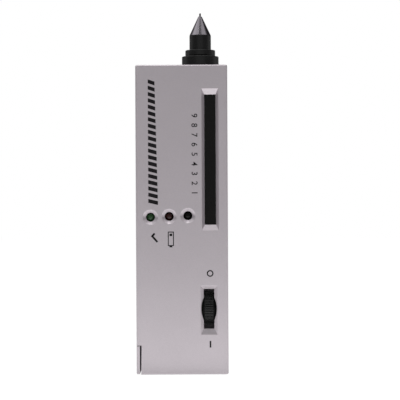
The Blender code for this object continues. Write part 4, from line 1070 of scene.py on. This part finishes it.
@dataclass
class Thumbwheel:
    """The ridged wheel: a turned core with smooth shoulders and a ring of ridges, the core's black darker
    than the ridges' as painted shade.
    """

    radius: float = 0.0075
    ridge: float = 0.0004
    ridge_width: float = 0.00029
    ridge_edge: float = 0.0001
    ridge_sunk: float = 0.00015
    ridges: int = 60
    band: float = 0.0040
    band_slope: float = 0.0001
    width: float = 0.0068
    shoulder: float = 0.0070
    chamfer: float = 0.0009
    bore: float = 0.0015
    edge: float = 0.0002

    def build(self) -> None:
        """Makes the core and the ridges."""
        low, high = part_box("thumbwheel")
        centre = (low + high) / 2
        root = self.radius - self.ridge
        half, side = self.band / 2, self.width / 2
        right = [
            (self.bore, side),
            (self.shoulder - self.chamfer, side),
            (self.shoulder, half + self.band_slope),
            (root, half - self.band_slope),
        ]
        outline = right + [(radius, -across) for radius, across in reversed(right)]
        core = lathe(soften(outline, self.edge), centre, Way.RIGHT, 144)
        # The core's darker black is painted shade in the grooves between the ridges.
        add("wheel_core", core, Finish.WHEEL_CORE, "wheel", ["thumbwheel"])
        across = self.ridge_width / 2
        bar = block(
            (-half, -across, root - self.ridge_sunk), (half, across, self.radius), self.ridge_edge, 2
        )
        # The ridges' lighter black is painted highlight on their crests.
        ridges = in_a_ring("wheel_ridges", bar, Finish.WHEEL, self.ridges, centre, (1.0, 0.0, 0.0))
        settle(ridges, "wheel")


class End(Enum):
    """The end of a piece that a corner's height is counted from."""

    FOOT = 0
    TOP = 1


FOOT, TOP = End


@dataclass(frozen=True)
class Turned:
    """A turned piece of the probe, with its corners as (radius, end, height from that end)."""

    node: str
    finish: Finish
    edge: float
    corners: tuple[tuple[float, End, float], ...]
    body: str = "case"


@dataclass
class Probe:
    """The stepped black holder, the turned cone and the needle."""

    x: float = 0.00854
    steps: int = 128
    crease: float = 40.0
    travel: float = 0.0010
    pieces: tuple[Turned, ...] = (
        Turned(
            "probe_flange",
            Finish.BLACK,
            0.00042,
            ((0.00515, TOP, 0.0), (0.0083, TOP, 0.0), (0.0083, TOP, -0.0041), (0.0045, TOP, -0.0041))
            + ((0.0045, FOOT, 0.0), (0.0031, FOOT, 0.0), (0.0031, TOP, -0.0020), (0.00515, TOP, -0.0020)),
        ),
        Turned(
            "probe_collar",
            Finish.BLACK,
            0.0004,
            ((0.00515, TOP, 0.0), (0.00675, TOP, 0.0), (0.00675, FOOT, 0.0), (0.00515, FOOT, 0.0)),
        ),
        Turned(
            "probe_barrel",
            Finish.BLACK,
            0.00016,
            ((0.0034, TOP, 0.0), (0.00485, TOP, 0.0), (0.00485, FOOT, 0.0), (0.0034, FOOT, 0.0)),
        ),
        Turned(
            "probe_nose_cone",
            Finish.CONE,
            0.00012,
            ((0.00062, TOP, 0.0), (0.00085, TOP, -0.00015), (0.00097, TOP, -0.0005))
            + ((0.00485, FOOT, 0.00178), (0.0031, FOOT, 0.00178), (0.0031, FOOT, 0.0))
            + ((0.0019, FOOT, 0.0), (0.0019, FOOT, 0.0056), (0.00062, FOOT, 0.0056)),
        ),
        Turned(
            "probe_tip",
            Finish.NEEDLE,
            0.0001,
            ((0.0, TOP, 0.0), (0.00019, TOP, -0.0001), (0.00038, TOP, -0.0004), (0.00038, FOOT, 0.0070))
            + ((0.0011, FOOT, 0.0070), (0.0011, FOOT, 0.0055), (0.00038, FOOT, 0.0055))
            + ((0.00038, FOOT, 0.0), (0.0, FOOT, 0.0)),
            "needle",
        ),
    )

    def build(self) -> None:
        """Makes the holder's three steps, the cone, the needle and the spring."""
        for part in self.pieces:
            ends = heights(part.node)
            outline = [(radius, ends[end.value] + height) for radius, end, height in part.corners]
            shape = lathe(soften(outline, part.edge, 4), (self.x, 0.0, 0.0), Way.UP, self.steps)
            add(f"{part.node}_turned", shape, part.finish, part.body, [part.node], self.crease)
        self.spring()

    def spring(self) -> None:
        """Makes the wound spring from the CAD's spring, with a mesh of its own."""
        shape = node_shape("probe_spring")
        wound = add("probe_spring_wound", shape, Finish.PLATED, stands_for=["probe_spring"])
        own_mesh(wound)


@dataclass(frozen=True)
class ScrewSize:
    """One size of screw: its head's radius and height and its radius over the thread."""

    kind: str
    head: float
    head_height: float
    shank: float


@dataclass
class Screws:
    """Two sizes of cross-headed screws with real threads, set at the CAD screws' places.

    The head's shares are of its radius and its height, and so are the cross's.
    """

    pitch: float = 0.0007
    edge: float = 0.00012
    head_shares: tuple[Point, ...] = ((0.0, 1.0), (0.55, 1.0), (0.88, 0.72), (1.0, 0.4), (1.0, 0.0))
    cross_shares: Point = (0.11, 0.6)
    cross_height_shares: Point = (0.5, 1.2)
    core_share: float = 0.8
    crest_share: float = 0.2
    sizes: tuple[ScrewSize, ...] = (
        ScrewSize("case_screw", 0.0018, 0.0014, 0.0009),
        ScrewSize("board_screw", 0.0016, 0.0011, 0.0008),
    )

    def build(self) -> None:
        """Makes one set of four screws of each size."""
        for size in self.sizes:
            self.screws(size)

    def screw(self, size: ScrewSize, length: float) -> bpy.types.Object:
        """Makes one screw without its thread.

        Args:
            size: its size.
            length: its length with its head.

        Returns:
            The screw, upright with its head's underside at the origin.
        """
        head, height, core = size.head, size.head_height, size.shank * self.core_share
        end = height - length
        outline = [(head * across, height * up) for across, up in self.head_shares]
        outline += [(core, 0.0), (core, end + size.shank), (0.0, end)]
        shape = lathe(soften(outline, self.edge), (0, 0, 0), Way.UP, 40)
        made = piece(f"{size.kind}_template", shape, Finish.PLATED.material)
        wing, reach = (head * share for share in self.cross_shares)
        low, high = (height * share for share in self.cross_height_shares)
        for n, (across, along) in enumerate(((wing, reach), (reach, wing)), 1):
            slot = block((-across, -along, low), (across, along, high))
            cut_out(made, piece(f"{size.kind}_slot_{n}", slot, Finish.PLATED.material))
        return made

    def thread(self, grower: Grower, shank: float, run: float) -> Socket:
        """Winds the thread of one screw in its tree.

        Args:
            grower: the tree.
            shank: radius over the thread.
            run: length of the thread.

        Returns:
            The thread's socket, below the head's underside.
        """
        radius = grower.named("Thread radius", "Float", shank)
        pitch = grower.named("Pitch", "Float", self.pitch)
        length = grower.named("Thread length", "Float", run)
        crest = grower.sum("MULTIPLY", radius, self.crest_share)
        middle = grower.sum("SUBTRACT", radius, crest)
        spiral = grower.node(
            "GeometryNodeCurveSpiral",
            {
                "Resolution": 14,
                "Rotations": grower.sum("DIVIDE", length, pitch),
                "Start Radius": middle,
                "End Radius": middle,
                "Height": length,
            },
        )
        section = {"Resolution": 4, "Radius": crest}
        profile = grower.node("GeometryNodeCurvePrimitiveCircle", section, mode="RADIUS")
        curves = {"Curve": spiral.outputs[0], "Profile Curve": profile.outputs[0], "Fill Caps": True}
        wound = grower.node("GeometryNodeCurveToMesh", curves).outputs[0]
        drop = grower.sum("MULTIPLY", length, -1.0)
        down = grower.node("ShaderNodeCombineXYZ", {"X": 0.0, "Y": 0.0, "Z": drop}).outputs[0]
        return grower.node("GeometryNodeTransform", {"Geometry": wound, "Translation": down}).outputs[0]

    def screws(self, size: ScrewSize) -> None:
        """Makes one set of four screws.

        Args:
            size: their size.
        """
        nodes = [f"{size.kind}_{n}" for n in range(1, 5)]
        boxes = [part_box(node) for node in nodes]
        low, high = boxes[0]
        length = high.y - low.y
        template = self.screw(size, length)
        grower = Grower(f"{size.kind}_set")
        source = grower.named("Screw", "Object", template)
        body = grower.node("GeometryNodeObjectInfo", {"Object": source, "As Instance": False})
        thread = self.thread(grower, size.shank, length - size.head_height - size.shank)
        whole = grower.node("GeometryNodeJoinGeometry", {})
        grower.tree.links.new(body.outputs["Geometry"], whole.inputs[0])
        grower.tree.links.new(thread, whole.inputs[0])
        turn = grower.turn((1.0, 0.0, 0.0), math.radians(Way.BACK.value[0]))
        copies = grower.copies(grower.template, whole.outputs[0], Rotation=turn)
        places = bmesh.new()
        for low, high in boxes:
            places.verts.new(((low.x + high.x) / 2, high.y - size.head_height, (low.z + high.z) / 2))
        made = grower.grow(f"{size.kind}s_threaded", copies, Finish.PLATED, places)
        bpy.data.objects.remove(template)
        settle(made, stands_for=nodes)


class Mark(Enum):
    """The plain signs printed on the face."""

    TICK = "tick"
    CELL = "cell"
    OFF = "off"
    ON = "on"


@dataclass
class Prints:
    """The plain black prints on the front face: a graded row, a number scale and four signs."""

    thickness: float = 0.00004
    sunk: float = 0.00001
    row_count: int = 20
    row_left: float = -0.0149
    row_heights: Point = (0.0783, 0.1315)
    row_lengths: Point = (0.0030, 0.0043)
    row_thick: float = 0.0017
    row_slant: float = 0.34
    number_size: float = 0.0037
    number_bold: float = 0.00003
    number_x: float = 0.0056
    number_z: float = 0.0809
    number_pitch: float = 0.0043
    ring_radius: float = 0.0015
    ring_line: float = 0.00055
    tick: tuple[Point, ...] = (
        (-0.0006, -0.0014),
        (0.0023, 0.0012),
        (0.0017, 0.0018),
        (-0.0006, -0.0002),
        (-0.0015, 0.0006),
        (-0.0021, 0.0000),
    )
    cell: tuple[tuple[Point, Point], ...] = (
        ((-0.0034, -0.00135), (0.0030, -0.00095)),
        ((-0.0034, 0.00095), (0.0030, 0.00135)),
        ((-0.0034, -0.00095), (-0.0030, 0.00095)),
        ((0.0026, -0.00095), (0.0030, 0.00095)),
        ((0.0030, -0.00065), (0.0036, 0.00065)),
        ((-0.0025, -0.0006), (-0.0014, 0.0006)),
    )
    on_bar: tuple[Point, Point] = ((-0.00035, -0.0015), (0.00035, 0.0015))
    places: tuple[tuple[Mark, float, float], ...] = (
        (Mark.TICK, -0.01245, 0.0611),
        (Mark.CELL, -0.00495, 0.0603),
        (Mark.OFF, 0.01245, 0.0450),
        (Mark.ON, 0.01245, 0.0135),
    )

    def on_face(self, x: float, z: float) -> Matrix:
        """The turn from a print's own plane to the face, so that it reads downwards at that place."""
        turn = Matrix(((0, 1, 0), (0, 0, -1), (-1, 0, 0))).to_4x4()
        return Matrix.Translation((x, FRONT_Y - self.thickness + self.sunk, z)) @ turn

    def bar(self, low: Point, high: Point, place: Matrix) -> Shape:
        """A flat bar between two corners of the print's own plane."""
        outline = [(low[0], low[1]), (high[0], low[1]), (high[0], high[1]), (low[0], high[1])]
        return slab(outline, self.thickness, place)

    def ring(self, place: Matrix) -> Shape:
        """A flat ring.

        Args:
            place: takes the print's own plane to its place.

        Returns:
            The ring.
        """
        outer, inner, deep = self.ring_radius, self.ring_radius - self.ring_line, -self.thickness
        shape = lathe([(inner, 0.0), (outer, 0.0), (outer, deep), (inner, deep)], (0, 0, 0), Way.UP, 48)
        shape.transform(place)
        return shape

    def sign(self, mark: Mark, x: float, z: float) -> Shape:
        """Draws one sign.

        Args:
            mark: which sign.
            x: its middle across the case.
            z: its middle up the case.

        Returns:
            The sign as a thin shape on the face.
        """
        place = self.on_face(x, z)
        if mark is Mark.TICK:
            return slab(self.tick, self.thickness, place)
        if mark is Mark.CELL:
            return merged(self.bar(low, high, place) for low, high in self.cell)
        if mark is Mark.OFF:
            return self.ring(place)
        return self.bar(*self.on_bar, place @ Matrix.Rotation(math.pi / 2, 4, "Z"))

    def graded_row(self) -> None:
        """Prints the bold slanted bars, each a little longer than the one above it."""
        bottom, top = self.row_heights
        first, last = self.row_lengths
        thick, shift = self.row_thick, self.row_slant * first
        outline = [(0.0, 0.0), (thick, 0.0), (thick + shift, first), (shift, first)]
        shape = slab(outline, self.thickness, self.on_face(0.0, top))
        steps = self.row_count - 1
        growth = (last / first - 1.0) / steps
        step = (0, 0, (bottom - top) / steps)
        row = in_a_row("graded_row_print", shape, Finish.INK, self.row_count, step, growth)
        row.data.transform(Matrix.Translation((self.row_left, 0.0, 0.0)))
        settle(row)

    def number(self, number: int) -> None:
        """Prints one number of the bar scale beside the window.

        Args:
            number: which number, from 1 at the bottom.
        """
        text = bpy.data.curves.new(f"number_{number}", "FONT")
        text.body = str(number)
        text.size = self.number_size
        text.align_x, text.align_y = "CENTER", "CENTER"
        text.extrude = self.thickness / 2
        text.offset = self.number_bold
        holder = bpy.data.objects.new(f"number_{number}", text)
        bpy.context.scene.collection.objects.link(holder)
        mesh = final_mesh(holder)
        bpy.data.objects.remove(holder)
        mesh.transform(self.on_face(self.number_x, self.number_z + (number - 1) * self.number_pitch))
        shape = bmesh.new()
        shape.from_mesh(mesh)
        bmesh.ops.remove_doubles(shape, verts=shape.verts, dist=SAME_PLACE)
        add(f"number_{number}_print", shape, Finish.INK)

    def build(self) -> None:
        """Makes the row, then the numbers, then the signs."""
        self.graded_row()
        for number in range(1, 10):
            self.number(number)
        for mark, x, z in self.places:
            add(f"{mark.value}_print", self.sign(mark, x, z), Finish.INK)


@dataclass
class PowerPack:
    """The block battery with its lid, its studs and the signs printed on its can."""

    can_edge: float = 0.0012
    can_drop: float = 0.0004
    stud_height: float = 0.0021
    stud_spread: float = 0.00635
    stud_edge: float = 0.0002
    small_stud: float = 0.00285
    large_stud: float = 0.0040
    large_hollow: float = 0.72
    stud_shares: tuple[Point, ...] = ((0.7, 1.0), (0.92, 0.95), (1.0, 0.6), (0.9, 0.0), (0.0, 0.0))
    stud_top_share: float = 0.62
    lid_inset: float = 0.0009
    lid_height: float = 0.0012
    lid_edge: float = 0.0003
    sign_layer: Point = (-0.00003, 0.00001)
    sign_bars: tuple[tuple[float, float, float, float], ...] = (
        (0.0050, 0.0078, 0.0416, 0.0422),
        (0.0061, 0.0067, 0.0405, 0.0433),
        (-0.0078, -0.0050, 0.0416, 0.0422),
    )

    def build(self) -> None:
        """Makes the can, the lid, both studs and the signs."""
        low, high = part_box("battery_9v")
        middle = (low + high) / 2
        top = high.z - self.stud_height
        can = block(low, (high.x, high.y, top - self.can_drop), self.can_edge, 4)
        add("battery_can", can, Finish.WRAP, stands_for=["battery_9v"])
        inset = self.lid_inset
        lid_low = (low.x + inset, low.y + inset, top - self.lid_height)
        lid_high = (high.x - inset, high.y - inset, top)
        add("battery_lid", block(lid_low, lid_high, self.lid_edge), Finish.BLACK)
        for name, side, radius, hollow in (
            ("small", -self.stud_spread, self.small_stud, 1.0),
            ("large", self.stud_spread, self.large_stud, self.large_hollow),
        ):
            shares = ((0.0, hollow), (self.stud_top_share, hollow), *self.stud_shares)
            outline = [(radius * across, (high.z - top) * up) for across, up in shares]
            place = (middle.x + side, middle.y, top)
            stud = lathe(soften(outline, self.stud_edge), place, Way.UP, 48)
            add(f"battery_{name}_stud", stud, Finish.TIN)
        back, front = (low.y + layer for layer in self.sign_layer)
        signs = [
            block((middle.x + left, back, bottom), (middle.x + right, front, end))
            for left, right, bottom, end in self.sign_bars
        ]
        add("battery_signs", merged(signs), Finish.INK)


@dataclass
class Innards:
    """Finishes of the CAD pieces that stay as they are, and the legs of both chips."""

    leg_width: float = 0.0005
    leg_pitch: float = 0.00254
    leg_reach: float = 0.0006
    leg_thickness: float = 0.0003
    leg_levels: Triple = (-0.0002, 0.0010, 0.0013)
    end_room: float = 0.001

    def build(self) -> None:
        """Dresses the CAD pieces and adds the chips' legs."""
        dressing = {
            Finish.PLATED: ("wheel_spindle",),
            Finish.GREY: ("switch_body",),
            Finish.BRASS: ("probe_nut",),
            Finish.WHITE: ("probe_sensor", "insulating_sleeve", "probe_connector"),
            Finish.BOARD: ("circuit_board",),
            Finish.BLACK: ("main_chip", "driver_chip", "buzzer", "battery_snap"),
            Finish.BLUE: ("trimmer", "capacitor"),
            Finish.RED_WIRE: ("battery_lead_red", "touch_plate_lead"),
            Finish.BLACK_WIRE: ("battery_lead_black",),
            Finish.WHITE_WIRE: ("probe_lead_a", "probe_lead_b"),
        }
        for finish, nodes in dressing.items():
            for node in nodes:
                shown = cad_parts[node]
                if not shown.material_slots:
                    shown.data.materials.append(finish.material)
                shown.material_slots[0].material = finish.material
                log.info("%s: dressed as %s", node, finish.material.name)
        for node in ("main_chip", "driver_chip"):
            self.legs(node)

    def legs(self, node: str) -> None:
        """Makes the two rows of legs of a chip.

        Args:
            node: the chip's CAD node.
        """
        low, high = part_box(node)
        count = int((high.z - low.z - self.end_room) / self.leg_pitch)
        start = (low.z + high.z) / 2 - (count - 1) * self.leg_pitch / 2
        bottom, top = start - self.leg_width / 2, start + self.leg_width / 2
        foot, knee, back = (low.y + level for level in self.leg_levels)
        pair = []
        for side, x in ((-1, low.x), (1, high.x)):
            end, bend = x + side * self.leg_reach, x + side * (self.leg_reach - self.leg_thickness)
            for inner, level in ((x, knee), (bend, foot)):
                across = sorted((inner, end))
                pair.append(block((across[0], level, bottom), (across[1], back, top)))
        row = in_a_row(f"{node}_legs", merged(pair), Finish.TIN, count, (0, 0, self.leg_pitch))
        settle(row)


# Studio


@dataclass(frozen=True)
class SoftLight:
    """One soft rectangular light that the camera doesn't see."""

    name: str
    place: Triple
    facing: Triple
    width: float
    height: float
    power: float

    def build(self) -> None:
        """Makes the light, its power in watts."""
        data = bpy.data.lights.new(self.name, "AREA")
        data.shape = "RECTANGLE"
        data.size, data.size_y, data.energy = self.width, self.height, self.power
        made = bpy.data.objects.new(self.name, data)
        made.location = self.place
        made.rotation_euler = Vector(self.facing).to_track_quat("-Z", "Y").to_euler()
        made.visible_camera = False
        bpy.context.scene.collection.objects.link(made)


DOWN = (0.0, 0.0, -1.0)
UP = (0.0, 0.0, 1.0)


@dataclass
class Studio:
    """White floor and surroundings, soft lights and the camera at the photograph's place.

    A field that ends in edge gives where an area of the surroundings starts and is full, as parts of a ray's
    direction.
    """

    sensor: float = 36.0
    frame_width: float = 0.1780
    distance: float = 0.70
    centre_x: float = 0.0081
    centre_z: float = 0.0777
    roll: float = -0.29
    floor_level: float = -0.00004
    floor_corners: tuple[Point, Point] = ((-1.2, -0.27), (1.2, 2.4))
    ambient: float = 0.55
    room: float = 0.22
    unlit_share: float = 0.8
    side_glow: float = 0.42
    strip_glow: float = 0.3
    crown_glow: float = 0.7
    front_glow: float = 0.27
    sheet_edge: Point = (0.90, 0.98)
    high_edge: Point = (0.3, 0.5)
    shade_x_edge: Point = (0.3, 0.6)
    shade_y_edge: Point = (-0.1, 0.2)
    flank_edge: Point = (0.5, 0.8)
    strip_x_edge: Point = (0.8, 0.95)
    strip_y_edge: Point = (-0.05, 0.15)
    front_edge: Point = (0.8, 0.95)
    crown_y_edge: Point = (0.35, 0.6)
    crown_z_edge: Point = (0.5, 0.65)
    lights: tuple[SoftLight, ...] = (
        SoftLight("top_softbox", (0.0, -0.09, 0.62), DOWN, 0.26, 0.36, 0.65),
        SoftLight("left_softbox", (-0.365, -0.075, 0.62), DOWN, 0.47, 0.65, 0.85),
        SoftLight("right_softbox", (0.29, -0.15, 0.62), DOWN, 0.32, 0.50, 0.36),
        SoftLight("low_panel", (0.0, -0.145, 0.0006), UP, 0.40, 0.24, 0.102),
    )

    def build(self) -> None:
        """Makes the floor, the surroundings, the lights and the camera."""
        self.floor()
        self.world()
        for light in self.lights:
            light.build()
        self.camera()

    def floor(self) -> None:
        """Makes the white floor, which keeps a faint shadow."""
        (left, front), (right, back) = self.floor_corners
        corners = ((left, front), (right, front), (right, back), (left, back))
        shape = bmesh.new()
        shape.faces.new([shape.verts.new((x, y, self.floor_level)) for x, y in corners])
        piece("floor", shape, WhiteFloor().make())

    def glow(self, tree: Nodes, x: Socket, y: Socket, high: Socket, crown: Socket, shade: Socket) -> Socket:
        """The light areas that glossy surfaces see beside, behind, above and in front of the tester.

        Args:
            tree: the world's tree.
            x: how far a ray points to the right.
            y: how far it points to the back.
            high: 1 where it points well up.
            crown: the brightness where it points up at the back.
            shade: 1 in the dark area at the right.

        Returns:
            Their brightness.
        """
        aside = tree.sum("ABSOLUTE", x)
        lit = tree.sum("MULTIPLY", high, tree.sum("SUBTRACT", 1.0, shade))
        flank = tree.sum("MULTIPLY", tree.ramp(aside, self.flank_edge, self.side_glow), lit)
        strip_side = tree.ramp(aside, self.strip_x_edge, self.strip_glow)
        strip = tree.sum("MULTIPLY", strip_side, tree.ramp(y, self.strip_y_edge))
        most = tree.sum("MAXIMUM", tree.sum("MAXIMUM", flank, strip), crown)
        front = tree.ramp(tree.sum("MULTIPLY", y, -1.0), self.front_edge, self.front_glow)
        return tree.sum("ADD", most, front)

    def world(self) -> None:
        """Makes the surroundings: a white sheet behind, a grey room with light areas for what is glossy."""
        world = bpy.data.worlds.new("surroundings")
        bpy.context.scene.world = world
        world.use_nodes = True
        tree = Nodes(world.node_tree)
        back = tree.tree.nodes["Background"]
        back.inputs["Color"].default_value = (1, 1, 1, 1)
        place = tree.node("ShaderNodeTexCoord", {}).outputs["Generated"]
        way = tree.node("ShaderNodeSeparateXYZ", {0: place})
        x, y, z = (way.outputs[axis] for axis in "XYZ")
        high = tree.ramp(z, self.high_edge)
        shade_side = tree.ramp(x, self.shade_x_edge)
        shade = tree.sum("MULTIPLY", shade_side, tree.ramp(y, self.shade_y_edge))
        crown_back = tree.ramp(y, self.crown_y_edge, self.crown_glow)
        crown = tree.sum("MULTIPLY", crown_back, tree.ramp(z, self.crown_z_edge))
        glow = self.glow(tree, x, y, high, crown, shade)
        unlit = tree.sum("MULTIPLY", tree.sum("MULTIPLY", shade, high), self.room * self.unlit_share)
        room = tree.sum("ADD", glow, tree.sum("SUBTRACT", self.room, unlit))
        gloss = tree.sum("MAXIMUM", room, tree.ramp(y, self.sheet_edge))
        level = tree.blend(tree.seen("Is Glossy Ray", "Is Transmission Ray"), self.ambient, gloss)
        shown = tree.blend(tree.seen("Is Camera Ray"), level, 1.0)
        tree.tree.links.new(shown, back.inputs["Strength"])

    def camera(self) -> None:
        """Makes the camera, which looks straight at the face from its own distance."""
        data = bpy.data.cameras.new("camera")
        data.sensor_width = self.sensor
        data.lens = self.sensor * self.distance / self.frame_width
        data.clip_start, data.clip_end = 0.01, 20.0
        made = bpy.data.objects.new("camera", data)
        place = Matrix.Translation((self.centre_x, FRONT_Y - self.distance, self.centre_z))
        roll = Matrix.Rotation(math.radians(self.roll), 4, "Z")
        made.matrix_world = place @ Matrix.Rotation(math.pi / 2, 4, "X") @ roll
        bpy.context.scene.collection.objects.link(made)
        bpy.context.scene.camera = made
        bpy.context.scene.view_settings.view_transform = "Standard"


def main() -> None:
    """Builds the sub-assemblies in order, then the studio."""
    logging.basicConfig(level=logging.INFO, format="%(name)s: %(message)s")
    for kind in (Case, Window, Lamps, Thumbwheel, Probe, Screws, Prints, PowerPack, Innards):
        log.info("building %s", kind.__name__)
        kind().build()
    Studio().build()


if __name__ == "__main__":
    main()
